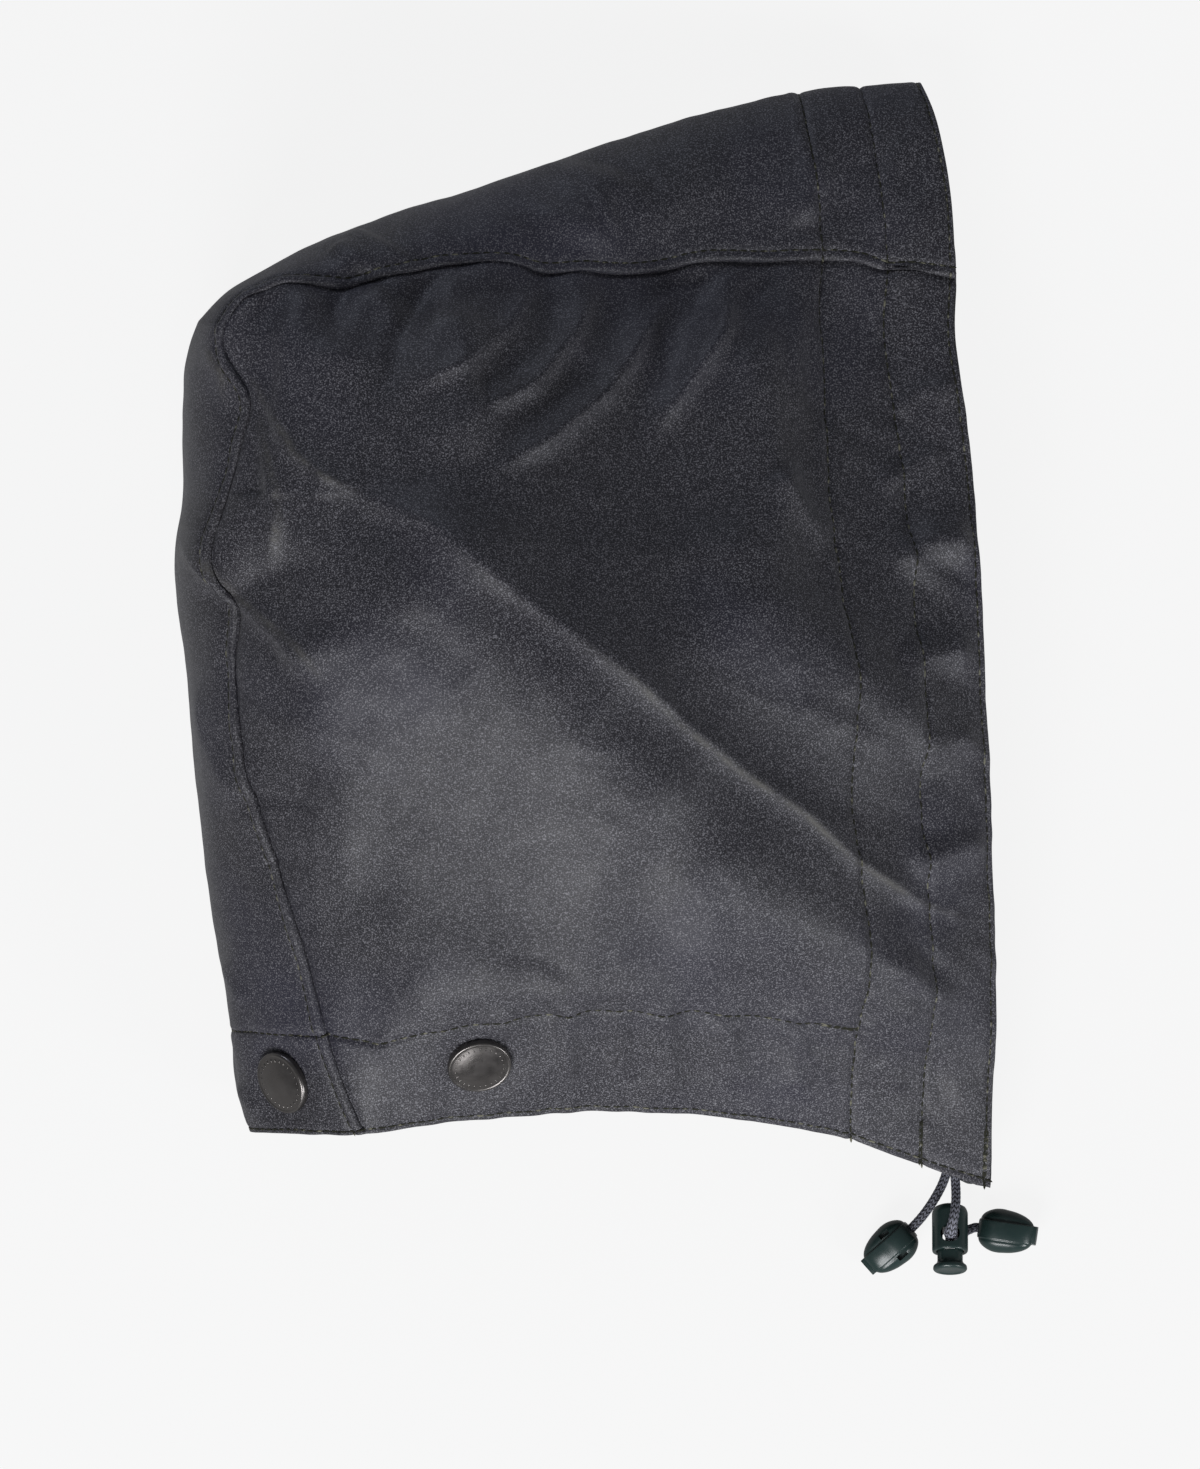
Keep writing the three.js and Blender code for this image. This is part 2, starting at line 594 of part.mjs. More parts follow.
// Cord bell; z runs from the bore to the tip
function egg(radius) {
  const profile = [{ r: 0, z: 0 }];
  for (let n = 1; n < bell.bands; n++) {
    const t = n / bell.bands;
    profile.push({ r: radius * Math.sin(Math.PI * t ** bell.lean) ** bell.fullness, z: bell.length * t });
  }
  profile.push({ r: 0, z: bell.length });
  return lathe(profile, bell.sides).scale(1, bell.flat, 1);
}
function cordBell() {
  const { length, radius, flat } = bell;
  const slab = new THREE.BoxGeometry(bellBelt.wide, 4 * radius, 3 * length);
  const belt = solidOf(egg(radius + bellBelt.rise)).intersect(solidOf(slab));
  const tab = new THREE.BoxGeometry(bellTab.wide, bellTab.thick, bellTab.long);
  tab.translate(0, 0, length + bellTab.past - bellTab.long / 2);
  const { radius: inlet, deep, sides } = bellBore;
  const bore = new THREE.CylinderGeometry(inlet, inlet, 2 * deep, sides).rotateX(Math.PI / 2);
  let body = solidOf(egg(radius)).add(belt).add(solidOf(tab)).subtract(solidOf(bore));
  for (const side of [-1, 1]) {
    const slot = new THREE.BoxGeometry(bellSlot.wide, bellSlot.deep, bellSlot.long);
    slot.translate(side * bellSlot.aside, -radius * flat, bellSlot.at);
    body = body.subtract(solidOf(slot));
  }
  return geometryOf(body);
}

// Finishes
const finish = (color, roughness, metalness) => ({ color, roughness, metalness });
const waxedCotton = finish(0x35343a, 0.62, 0);
const gunmetal = finish(0x2c2a2c, 0.3, 1);
const greenPlastic = finish(0x1f3330, 0.32, 0);
const braid = finish(0x24252b, 0.85, 0);

const onCord = /^(cord|plunger)_/;
const hood = new THREE.Group();
function addPiece(name, geometry, look, matrix) {
  const piece = new THREE.Mesh(geometry, new THREE.MeshStandardMaterial(look));
  piece.name = name;
  if (matrix) piece.applyMatrix4(matrix);
  hood.add(piece);
}

const isPart = (part) => (q) => q.part === part;
const lapOf = (first, last) => (q) => q.part === "centre" && q.k >= first && q.k < last;
const pick = (...tests) => skin.quads.filter((q) => tests.some((test) => test(q)));
const inFrontFacing = (q) => (q.part === "centre" ? q.m < facingBands : q.i >= facingColumn);
const inNeckFacing = (q) => {
  if (q.part === "centre") return q.m >= columns + neckRow;
  return q.j >= neckRow && q.i < facingColumn - 1;
};
const rightSide = pick(isPart("upper"), lapOf(0, lapQuads));
const leftSide = pick(isPart("lower"), lapOf(across - lapQuads, across));
const centre = pick(isPart("centre"));
const sideTop = () => 0;
const centreTop = () => shellThick + gap;

addPiece("side_panel_right", pierced(clothOver(rightSide, sideTop, shellThick)), waxedCotton);
addPiece("side_panel_left", pierced(clothOver(leftSide, sideTop, shellThick)), waxedCotton);
addPiece("centre_panel", pierced(clothOver(centre, centreTop, shellThick)), waxedCotton);
addPiece("front_facing", clothOver(pick(inFrontFacing), facingTop, facingThick), waxedCotton);
addPiece("neck_facing", pierced(clothOver(pick(inNeckFacing), facingTop, facingThick)), waxedCotton);

for (const { name, normal, outer, stack } of studPlaces) {
  addPiece("stud_cap_" + name, studCap(stack), gunmetal, placeAt(outer, normal));
  const inside = outer.clone().addScaledVector(normal, -(stack + 2 * gap));
  addPiece("stud_socket_" + name, lathe(socketProfile, stud.sides), gunmetal, placeAt(inside, normal));
}

const matrixOf = ({ at, along, up }) => placeAt(...[at, along, up].map((v) => new THREE.Vector3(...v)));
function addCordEnd(side, route, lockSpot, bellSpot) {
  addPiece("cord_end_" + side, tube(route.map(vector)), braid);
  addPiece("cord_lock_" + side, lockBarrel(), greenPlastic, matrixOf(lockSpot));
  addPiece("plunger_" + side, plungerPin(), greenPlastic, matrixOf(lockSpot));
  addPiece("cord_bell_" + side, cordBell(), greenPlastic, matrixOf(bellSpot));
}
addPiece("drawcord_run", tube(channelRun()), braid);
addCordEnd("right", rightRoute, places.lockRight, places.bellRight);
addCordEnd("left", leftRoute, places.lockLeft, places.bellLeft);

// The origin is the middle of the underside of the hood itself, without the cord ends
const ownBox = new THREE.Box3();
for (const piece of hood.children) if (!onCord.test(piece.name)) ownBox.expandByObject(piece, true);
const middle = ownBox.getCenter(new THREE.Vector3());
hood.position.set(-middle.x, -middle.y, -ownBox.min.z);

export default hood;
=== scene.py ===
import json
import math

import bmesh
import bpy
import numpy as np
from mathutils import Matrix, Vector


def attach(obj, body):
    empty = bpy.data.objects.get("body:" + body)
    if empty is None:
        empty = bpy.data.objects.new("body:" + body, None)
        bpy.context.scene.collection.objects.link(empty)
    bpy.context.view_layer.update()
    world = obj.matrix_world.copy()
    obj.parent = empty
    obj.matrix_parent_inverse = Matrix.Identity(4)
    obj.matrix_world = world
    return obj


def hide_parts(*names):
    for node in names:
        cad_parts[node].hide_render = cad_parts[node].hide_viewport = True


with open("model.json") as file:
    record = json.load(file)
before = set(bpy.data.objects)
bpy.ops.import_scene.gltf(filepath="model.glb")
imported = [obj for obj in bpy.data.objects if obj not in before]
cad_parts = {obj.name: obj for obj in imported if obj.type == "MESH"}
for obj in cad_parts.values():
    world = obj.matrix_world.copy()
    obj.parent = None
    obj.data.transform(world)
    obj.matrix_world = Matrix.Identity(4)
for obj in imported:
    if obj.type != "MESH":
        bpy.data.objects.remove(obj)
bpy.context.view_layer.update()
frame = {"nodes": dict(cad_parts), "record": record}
scene = bpy.context.scene
scene.view_settings.view_transform = "Standard"

# The hood is laid out in millimetres, and its own frame is in metres a little to one side
layoutShift = np.array([0.979, -0.035, 0.0])


def toFrame(points):
    return (np.asarray(points, float) + layoutShift) / 1000


# Small tools for lines and meshes


# A smooth curve through the points, evened out for uneven spacing
def lineAt(points, t):
    count = len(points)
    place = np.clip(np.asarray(t, float), 0, 1) * (count - 1)
    k = np.minimum(place.astype(int), count - 2)
    w = (place - k)[..., None]
    padded = np.vstack([2 * points[0] - points[1], points, 2 * points[-1] - points[-2]])
    a, b, c, d = (padded[k + i] for i in range(4))

    def spacing(p, q):
        return np.maximum(np.sum((p - q) ** 2, axis=-1, keepdims=True) ** 0.25, 1e-4)

    before, span, after = spacing(a, b), spacing(b, c), spacing(c, d)
    start = ((b - a) / before - (c - a) / (before + span) + (c - b) / span) * span
    end = ((c - b) / span - (d - b) / (span + after) + (d - c) / after) * span
    return b + start * w + (3 * c - 3 * b - 2 * start - end) * w**2 + (2 * b - 2 * c + start + end) * w**3


def lengths(points):
    return np.concatenate([[0], np.cumsum(np.linalg.norm(np.diff(points, axis=0), axis=1))])


def roundLine(points):
    points = np.asarray(points, float)
    t = np.linspace(0, 1, 401)
    travelled = lengths(lineAt(points, t))
    return points, t, travelled / travelled[-1]


def alongLine(line, share):
    points, t, shares = line
    return lineAt(points, np.interp(share, shares, t))


def smoothAt(places, values, at):
    places, at, values = (np.asarray(x, float) for x in (places, at, values))
    if values.ndim == 1:
        values = values.reshape((-1,) + (1,) * at.ndim) * np.ones(at.shape)
    count = len(places)
    k = np.clip(np.searchsorted(places, at) - 1, 0, count - 2)
    lower, upper = np.maximum(np.arange(count) - 1, 0), np.minimum(np.arange(count) + 1, count - 1)
    apart = (places[upper] - places[lower]).reshape((-1,) + (1,) * at.ndim)
    slopes = (values[upper] - values[lower]) / apart

    def pick(table, index):
        return np.take_along_axis(table, index[None], axis=0)[0]

    span = places[k + 1] - places[k]
    t = (at - places[k]) / span
    left = pick(values, k) * (1 + 2 * t) * (1 - t) ** 2 + pick(slopes, k) * span * t * (1 - t) ** 2
    return left + pick(values, k + 1) * (3 - 2 * t) * t * t - pick(slopes, k + 1) * span * (1 - t) * t * t


def nearest(values, at):
    return int(np.argmin(np.abs(values - at)))


def ease(x):
    x = np.clip(x, 0, 1)
    return x * x * (3 - 2 * x)


def bump(x, width):
    return np.exp(-((x / width) ** 2))


# Smooth random wave along a length, and smooth random swell over a plane
def wave(s, pitch, seed):
    values = np.random.default_rng(seed).uniform(-1, 1, 400)
    place = np.asarray(s) / pitch + 40
    k = np.floor(place).astype(int) % 399
    w = ease(place - np.floor(place))
    return values[k] * (1 - w) + values[k + 1] * w


def swellOver(x, y, pitch, seed, count=9):
    rng = np.random.default_rng(seed)
    total = 0
    for _ in range(count):
        turn, phase = rng.uniform(0, 2 * math.pi, 2)
        rate = 2 * math.pi / (pitch * rng.uniform(0.7, 1.6))
        total = total + np.sin(rate * (x * math.cos(turn) + y * math.sin(turn)) + phase)
    return total / math.sqrt(count)


def newPiece(name, points, faces, material, smooth=True, masks=None, uv=None):
    mesh = bpy.data.meshes.new(name)
    mesh.from_pydata([tuple(p) for p in points], [], [tuple(int(i) for i in f) for f in faces])
    mesh.materials.append(material)
    mesh.polygons.foreach_set("use_smooth", [smooth] * len(mesh.polygons))
    for key, values in (masks or {}).items():
        mesh.attributes.new(key, "FLOAT", "POINT").data.foreach_set("value", np.asarray(values, np.float32))
    if uv is not None:
        layer = mesh.uv_layers.new(name="along")
        corners = np.empty(len(mesh.loops), np.int32)
        mesh.loops.foreach_get("vertex_index", corners)
        layer.data.foreach_set("uv", np.asarray(uv, np.float32)[corners].ravel())
    mesh.validate()
    mesh.update()
    piece = bpy.data.objects.new(name, mesh)
    scene.collection.objects.link(piece)
    return piece


def frameFrom(at, along, up):
    z = Vector(along).normalized()
    x = Vector(up).cross(z).normalized()
    y = z.cross(x)
    matrix = Matrix((x, y, z)).transposed().to_4x4()
    matrix.translation = Vector(toFrame(at))
    return matrix


def placed(points, matrix):
    m = np.array(matrix)
    return np.asarray(points) / 1000 @ m[:3, :3].T + m[:3, 3]


# Rounds the corners of a profile of (radius, height) points
def roundedProfile(profile, radius, steps=4):
    points = [np.array(p[:2], float) for p in profile]
    result = [points[0]]
    for before, here, after in zip(points, points[1:], points[2:]):
        back, on = before - here, after - here
        reach = min(radius, 0.45 * np.linalg.norm(back), 0.45 * np.linalg.norm(on))
        start = here + back / np.linalg.norm(back) * reach
        end = here + on / np.linalg.norm(on) * reach
        for t in np.linspace(0, 1, steps + 1):
            result.append((1 - t) ** 2 * start + 2 * t * (1 - t) * here + t * t * end)
    result.append(points[-1])
    return result


def turned(profile, sides):
    points, faces, rings = [], [], []
    for r, z in profile:
        if r < 1e-6:
            rings.append([len(points)])
            points.append((0, 0, z))
            continue
        rings.append(list(range(len(points), len(points) + sides)))
        for n in range(sides):
            turn = 2 * math.pi * n / sides
            points.append((r * math.cos(turn), r * math.sin(turn), z))
    for low, high in zip(rings, rings[1:]):
        for n in range(sides):
            m = (n + 1) % sides
            face = [low[n % len(low)], low[m % len(low)], high[m % len(high)], high[n % len(high)]]
            face = [i for k, i in enumerate(face) if i not in face[:k]]
            if len(face) > 2:
                faces.append(face)
    return np.array(points), faces


def sharpen(piece, degrees):
    piece.data.set_sharp_from_angle(angle=math.radians(degrees))


def applyModifiers(piece):
    bpy.context.view_layer.update()
    mesh = bpy.data.meshes.new_from_object(piece.evaluated_get(bpy.context.evaluated_depsgraph_get()))
    piece.modifiers.clear()
    piece.data = mesh


def cutOut(piece, cutter):
    modifier = piece.modifiers.new("cut", "BOOLEAN")
    modifier.operation = "DIFFERENCE"
    modifier.solver = "EXACT"
    modifier.object = cutter
    applyModifiers(piece)
    bpy.data.objects.remove(cutter)


# Camera and light

print("stage: camera and light")
cameraView = {"height": 8.0, "middle": (3.2, -29.6), "lens": 664.4, "sensor": 36}
camera = bpy.data.cameras.new("camera")
camera.lens = cameraView["lens"]
camera.sensor_width = cameraView["sensor"]
camera.clip_end = 20
cameraObject = bpy.data.objects.new("camera", camera)
scene.collection.objects.link(cameraObject)
cameraObject.location = (*toFrame((*cameraView["middle"], 0))[:2], cameraView["height"])
scene.camera = cameraObject

lamps = {
    "key": {"at": (-0.45, -1.6, 1.3), "size": 1.0, "watts": 42, "colour": (0.98, 0.985, 1.0)},
    "side": {"at": (1.6, -1.3, 0.95), "size": 0.7, "watts": 22, "colour": (0.96, 0.98, 1.0)},
    "cool": {"at": (-0.5, 1.75, 0.5), "size": 0.7, "watts": 7.5, "colour": (0.78, 0.84, 1.0)},
}
for name, lamp in lamps.items():
    light = bpy.data.lights.new(name, "AREA")
    light.size = lamp["size"]
    light.energy = lamp["watts"]
    light.color = lamp["colour"]
    lightObject = bpy.data.objects.new(name, light)
    lightObject.location = lamp["at"]
    lightObject.rotation_euler = (-Vector(lamp["at"])).to_track_quat("-Z", "Y").to_euler()
    scene.collection.objects.link(lightObject)

world = bpy.data.worlds.new("studio")
world.use_nodes = True
background = world.node_tree.nodes["Background"]
background.inputs["Color"].default_value = (0.93, 0.95, 1.0, 1)
background.inputs["Strength"].default_value = 0.15
scene.world = world


# Finishes


def setInputs(node, inputs):
    for key, value in inputs.items():
        node.inputs[key].default_value = value


def newNode(tree, kind, inputs=None, **settings):
    node = tree.nodes.new(kind)
    for key, value in settings.items():
        setattr(node, key, value)
    setInputs(node, inputs or {})
    return node


# Each value is a plain one or another node's output
def feed(tree, sockets, values):
    for socket, value in zip(sockets, values):
        if isinstance(value, bpy.types.NodeSocket):
            tree.links.new(value, socket)
        else:
            socket.default_value = value


def mixColour(tree, factor, first, second):
    mix = newNode(tree, "ShaderNodeMix", data_type="RGBA")
    feed(tree, (mix.inputs[0], mix.inputs[6], mix.inputs[7]), (factor, first, second))
    return mix.outputs[2]


def ranged(tree, value, low, high, toLow, toHigh):
    node = newNode(tree, "ShaderNodeMapRange", {1: low, 2: high, 3: toLow, 4: toHigh})
    tree.links.new(value, node.inputs[0])
    return node.outputs[0]


def multiplied(tree, first, second):
    node = newNode(tree, "ShaderNodeMath", operation="MULTIPLY")
    feed(tree, node.inputs, (first, second))
    return node.outputs[0]


# Fine grain, cloudy mottling and broad patches, one group for cloth, cord, thread, metal and plastic
def grainGroup():
    group = bpy.data.node_groups.new("surfaceGrain", "ShaderNodeTree")
    group.interface.new_socket("Vector", in_out="INPUT", socket_type="NodeSocketVector")
    for name in ("Grain Scale", "Mottle Scale", "Patch Scale"):
        group.interface.new_socket(name, in_out="INPUT", socket_type="NodeSocketFloat")
    for name in ("Grain", "Mottle", "Patch"):
        group.interface.new_socket(name, in_out="OUTPUT", socket_type="NodeSocketFloat")
    start, end = group.nodes.new("NodeGroupInput"), group.nodes.new("NodeGroupOutput")
    details = {"Grain": (1.5, 0.55), "Mottle": (4, 0.55), "Patch": (2, 0.5)}
    for name, (detail, roughness) in details.items():
        noise = newNode(group, "ShaderNodeTexNoise", {"Detail": detail, "Roughness": roughness})
        group.links.new(start.outputs["Vector"], noise.inputs["Vector"])
        group.links.new(start.outputs[name + " Scale"], noise.inputs["Scale"])
        group.links.new(noise.outputs["Fac"], end.inputs[name])
    return group


surfaceGrain = grainGroup()


def newMaterial(name, grain, mottle, patch):
    material = bpy.data.materials.new(name)
    material.use_nodes = True
    tree = material.node_tree
    shader = tree.nodes["Principled BSDF"]
    coordinates = newNode(tree, "ShaderNodeTexCoord")
    group = newNode(tree, "ShaderNodeGroup", node_tree=surfaceGrain)
    feed(tree, group.inputs[1:], (grain, mottle, patch))
    tree.links.new(coordinates.outputs["Object"], group.inputs["Vector"])
    return material, tree, shader, group


def addRelief(tree, shader, height, strength, distance):
    relief = newNode(tree, "ShaderNodeBump", {"Strength": strength, "Distance": distance})
    tree.links.new(height, relief.inputs["Height"])
    tree.links.new(relief.outputs["Normal"], shader.inputs["Normal"])


clothLook = {
    "dark": (0.0085, 0.0081, 0.0118, 1),
    "light": (0.039, 0.0375, 0.046, 1),
    "blue": (0.026, 0.025, 0.046, 1),
    "speck": (0.150, 0.148, 0.163, 1),
    # Lighter worn colour: wax rubbed off at the edges, also a painted highlight on the sharp fold crests
    "wornAndHighlight": (0.075, 0.072, 0.066, 1),
    "roughness": (0.48, 0.58),
    "shine": 0.36,
    "sheen": 0.06,
    "grainDepth": 0.00022,
}


def waxedCottonMaterial():
    material, tree, shader, grain = newMaterial("waxedCotton", 2300, 130, 14)
    look = clothLook
    grainy = ranged(tree, grain.outputs["Grain"], 0.40, 0.58, 0, 1)
    colour = mixColour(tree, grainy, look["dark"], look["light"])
    blueness = ranged(tree, grain.outputs["Patch"], 0.5, 0.75, 0, 0.5)
    colour = mixColour(tree, blueness, colour, look["blue"])
    speckle = ranged(tree, grain.outputs["Grain"], 0.55, 0.66, 0, 0.95)
    colour = mixColour(tree, speckle, colour, look["speck"])
    # This mask mixes in the lighter worn colour: real wear at the edges, painted highlight along the sharp
    # fold crests
    wornAndHighlight = newNode(tree, "ShaderNodeAttribute", attribute_name="wearAndHighlight")
    broken = ranged(tree, grain.outputs["Mottle"], 0.35, 0.65, 0.15, 1)
    wearAndHighlight = multiplied(tree, wornAndHighlight.outputs["Fac"], broken)
    colour = mixColour(tree, wearAndHighlight, colour, look["wornAndHighlight"])
    tree.links.new(colour, shader.inputs["Base Color"])
    rough = ranged(tree, grain.outputs["Mottle"], 0.3, 0.7, *look["roughness"])
    tree.links.new(rough, shader.inputs["Roughness"])
    sheen = {"Sheen Weight": look["sheen"], "Sheen Roughness": 0.5}
    setInputs(shader, {"Specular IOR Level": look["shine"], **sheen})
    addRelief(tree, shader, grain.outputs["Grain"], 0.6, look["grainDepth"])
    return material


threadLook = {
    "dark": (0.006, 0.0065, 0.004, 1),
    "olive": (0.03, 0.03, 0.018, 1),
    "fleck": (0.17, 0.165, 0.125, 1),
}


def threadMaterial():
    material, tree, shader, grain = newMaterial("thread", 2600, 420, 60)
    look = threadLook
    colour = mixColour(tree, grain.outputs["Mottle"], look["dark"], look["olive"])
    flecked = ranged(tree, grain.outputs["Mottle"], 0.55, 0.62, 0, 0.85)
    tree.links.new(mixColour(tree, flecked, colour, look["fleck"]), shader.inputs["Base Color"])
    setInputs(shader, {"Roughness": 0.8, "Specular IOR Level": 0.25})
    addRelief(tree, shader, grain.outputs["Grain"], 0.4, 0.0001)
    return material


braidLook = {
    # gap: painted shade, near-black in the grooves between strands
    "gap": (0.004, 0.004, 0.007, 1),
    "strand": (0.21, 0.215, 0.26, 1),
    "fleck": (0.2, 0.205, 0.24, 1),
}


# The braid's V pattern comes from the cord's own "braid" mask; the near-black gap colour in the grooves
# between strands is painted shade
def braidMaterial():
    material, tree, shader, grain = newMaterial("braidedCord", 3000, 500, 80)
    look = braidLook
    strand = newNode(tree, "ShaderNodeAttribute", attribute_name="braid")
    colour = mixColour(tree, strand.outputs["Fac"], look["gap"], look["strand"])
    flecked = ranged(tree, grain.outputs["Grain"], 0.58, 0.78, 0, 0.4)
    tree.links.new(mixColour(tree, flecked, colour, look["fleck"]), shader.inputs["Base Color"])
    setInputs(shader, {"Roughness": 0.75})
    addRelief(tree, shader, grain.outputs["Grain"], 0.5, 0.0001)
    return material


gunmetalLook = {
    "dark": (0.115, 0.107, 0.104, 1),
    "light": (0.185, 0.174, 0.168, 1),
    "roughness": (0.24, 0.36),
}


def gunmetalMaterial():
    material, tree, shader, grain = newMaterial("gunmetal", 900, 220, 60)
    look = gunmetalLook
    colour = mixColour(tree, grain.outputs["Mottle"], look["dark"], look["light"])
    tree.links.new(colour, shader.inputs["Base Color"])
    setInputs(shader, {"Metallic": 0.95})
    rough = ranged(tree, grain.outputs["Mottle"], 0.3, 0.7, *look["roughness"])
    tree.links.new(rough, shader.inputs["Roughness"])
    addRelief(tree, shader, grain.outputs["Grain"], 0.12, 0.00008)
    return material


plasticLook = {
    "dark": (0.0105, 0.0225, 0.0215, 1),
    "light": (0.017, 0.034, 0.032, 1),
    "dust": (0.045, 0.06, 0.058, 1),
    "roughness": (0.24, 0.36),
}


def greenPlasticMaterial():
    material, tree, shader, grain = newMaterial("greenPlastic", 1500, 240, 90)
    look = plasticLook
    colour = mixColour(tree, grain.outputs["Patch"], look["dark"], look["light"])
    dusty = ranged(tree, grain.outputs["Mottle"], 0.6, 0.75, 0, 0.25)
    tree.links.new(mixColour(tree, dusty, colour, look["dust"]), shader.inputs["Base Color"])
    rough = ranged(tree, grain.outputs["Mottle"], 0.3, 0.7, *look["roughness"])
    tree.links.new(rough, shader.inputs["Roughness"])
    addRelief(tree, shader, grain.outputs["Mottle"], 0.15, 0.0001)
    return material


# The floor shows paler to the camera than it shines on the hood
floorLook = {
    "half": 3.0,
    "below": 0.0002,
    "dark": (0.05, 0.05, 0.05, 1),
    "light": (0.054, 0.054, 0.054, 1),
    "shining": (0.3, 0.3, 0.3, 1),
    "seen": (0.875, 0.875, 0.875, 1),
}


def floorMaterial():
    material, tree, shader, grain = newMaterial("paperFloor", 300, 40, 3)
    look = floorLook
    colour = mixColour(tree, grain.outputs["Patch"], look["dark"], look["light"])
    tree.links.new(colour, shader.inputs["Base Color"])
    seen = newNode(tree, "ShaderNodeLightPath").outputs["Is Camera Ray"]
    glow = mixColour(tree, seen, look["shining"], look["seen"])
    tree.links.new(glow, shader.inputs["Emission Color"])
    setInputs(shader, {"Roughness": 0.95, "Specular IOR Level": 0.0, "Emission Strength": 1.0})
    return material


waxedCotton = waxedCottonMaterial()
thread = threadMaterial()
braidedCord = braidMaterial()
gunmetal = gunmetalMaterial()
greenPlastic = greenPlasticMaterial()

floorCorners = [
    (x * floorLook["half"], y * floorLook["half"], -floorLook["below"])
    for x, y in ((-1, -1), (1, -1), (1, 1), (-1, 1))
]
floor = newPiece("floor", floorCorners, [(0, 1, 2, 3)], floorMaterial(), smooth=False)

# Cords

print("stage: cords, locks and bells")
cordLook = {
    "diameter": 2.7,
    "columns": 6,
    "pitch": 1.45,
    "lean": 0.8,
    "relief": 0.2,
    "level": 0.7,
    "pinch": 0.35,
    "pinchReach": 0.16,
    "rings": 0.14,
    "sides": 48,
}
# Where the cord spreads as it threads the lock: share of the way, widening and reach
threadingFlare = {"at": 0.43, "by": 0.42, "over": 2.8}
rightRoute = [
    (107.7, -158.9, 17.2), (107.9, -162, 17.8), (108, -165.4, 19.4), (107.8, -168.9, 21.2),
    (107.2, -172.3, 21.9), (106.6, -175, 20.4), (106.3, -176.7, 17.2), (106.3, -177.6, 14),
    (106.3, -178.4, 11), (106.6, -178.9, 8), (107.6, -178.7, 5.2), (109.4, -177.4, 3.2),
    (111.6, -175.9, 3.3), (114, -175, 4.3), (117, -175.3, 5),
]
leftRoute = [
    (106.2, -140.4, 5.6), (107.2, -143, 5.5), (108.6, -145.6, 5.4), (109.2, -148.6, 5.4),
    (108.4, -151.6, 5.4), (107.2, -154.1, 5.4), (106, -156.6, 5.4), (105.2, -159.4, 5.6),
    (104.1, -162.3, 6), (102.5, -165.4, 6.3), (100.3, -168.9, 6.5), (97.8, -172.2, 6.6),
    (95.2, -175, 6.5), (93.2, -176.8, 6.4),
]


def sweptAlong(centres, radius, sides):
    tangents = np.gradient(centres, axis=0)
    tangents /= np.linalg.norm(tangents, axis=1)[:, None]
    side = np.cross(tangents[0], (0.3, 0.2, 1))
    frames = []
    for tangent in tangents:
        side = side - tangent * np.dot(side, tangent)
        side /= np.linalg.norm(side)
        frames.append((side, np.cross(tangent, side)))
    turn = 2 * math.pi * np.arange(sides) / sides
    first, second = (np.array([f[i] for f in frames])[:, None, :] for i in (0, 1))
    ring = np.cos(turn)[None, :, None] * first + np.sin(turn)[None, :, None] * second
    points = centres[:, None, :] + ring * radius[..., None]
    count = len(centres)
    index = np.arange(count * sides).reshape(count, sides)
    after = np.roll(index, -1, axis=1)
    faces = np.stack([index[:-1], after[:-1], after[1:], index[1:]], -1).reshape(-1, 4).tolist()
    caps = [count * sides, count * sides + 1]
    for n in range(sides):
        faces.append((caps[0], index[0, (n + 1) % sides], index[0, n]))
        faces.append((caps[1], index[-1, n], index[-1, (n + 1) % sides]))
    points = np.vstack([points.reshape(-1, 3), centres[0], centres[-1]])
    return points, faces


# Strands lean one way in one column and the other way in the next, so they meet in V shapes
def braidOver(s, turn, look):
    column = turn / (2 * math.pi) * look["columns"]
    within = np.abs(column - np.floor(column) - 0.5) * 2
    strand = s / look["pitch"] + look["lean"] * within
    plump = np.abs(np.sin(math.pi * strand)) ** 0.6
    pinch, reach = look["pinch"], look["pinchReach"]
    return plump * (1 - pinch * bump(within, reach) - pinch * bump(1 - within, reach))


def makeCord(name, route, look, flare=None):
    line = roundLine(route)
    total = lengths(alongLine(line, np.linspace(0, 1, 400)))[-1]
    count = int(total / look["rings"])
    share = np.linspace(0, 1, count)
    centres = alongLine(line, share)
    s = share * total
    turn = 2 * math.pi * np.arange(look["sides"]) / look["sides"]
    height = braidOver(s[:, None], turn[None, :], look)
    radius = look["diameter"] / 2 + look["relief"] * (height - look["level"])
    if flare:
        radius = radius * (1 + flare["by"] * bump(s - flare["at"] * total, flare["over"]))[:, None]
    points, faces = sweptAlong(centres, radius, look["sides"])
    # The mask follows the braid's relief: its low grooves take the painted shade colour
    mask = np.append(ease((height - 0.55) / 0.4).ravel(), [0, 0])
    piece = newPiece(name, toFrame(points), faces, braidedCord, masks={"braid": mask})
    return piece, toFrame(centres), total / 1000


cordRight, cordRightPath, cordRightLength = makeCord("cordEndRight", rightRoute, cordLook, threadingFlare)
cordLeft, cordLeftPath, cordLeftLength = makeCord("cordEndLeft", leftRoute, cordLook)
print("cord lengths", round(cordRightLength, 4), round(cordLeftLength, 4))

# Locks

lockShape = {
    "barrel": [
        (0, -9.6), (3.1, -9.6), (4.75, -8.8), (5.3, -7.3), (5.3, 4.1),
        (5.1, 4.7), (4.05, 4.7), (4.05, -6.5), (0, -6.5),
    ],
    "plunger": [
        (0, -3.6), (3.75, -3.6), (3.75, 7.6), (4.2, 8.4), (4.95, 8.9),
        (5.05, 9.9), (4.6, 10.4), (3.6, 10.5), (3.3, 10.25), (0, 10.2),
    ],
    "barrelRounding": 0.5,
    "plungerRounding": 0.35,
    "hole": 2.85,
    "holeHalf": 8,
    "slot": (4.4, 12, 6.6),
    "slotMiddle": 1.25,
    "sides": 72,
    "sharpAbove": 38,
}
lockPlaces = {
    "Right": {"at": (106.3, -177.6, 14), "along": (0, -0.956, 0.292), "up": (0, 0.292, 0.956)},
    "Left": {"at": (107.2, -154.1, 5.4), "along": (-0.9, 0.436, 0), "up": (0.436, 0.9, 0)},
}


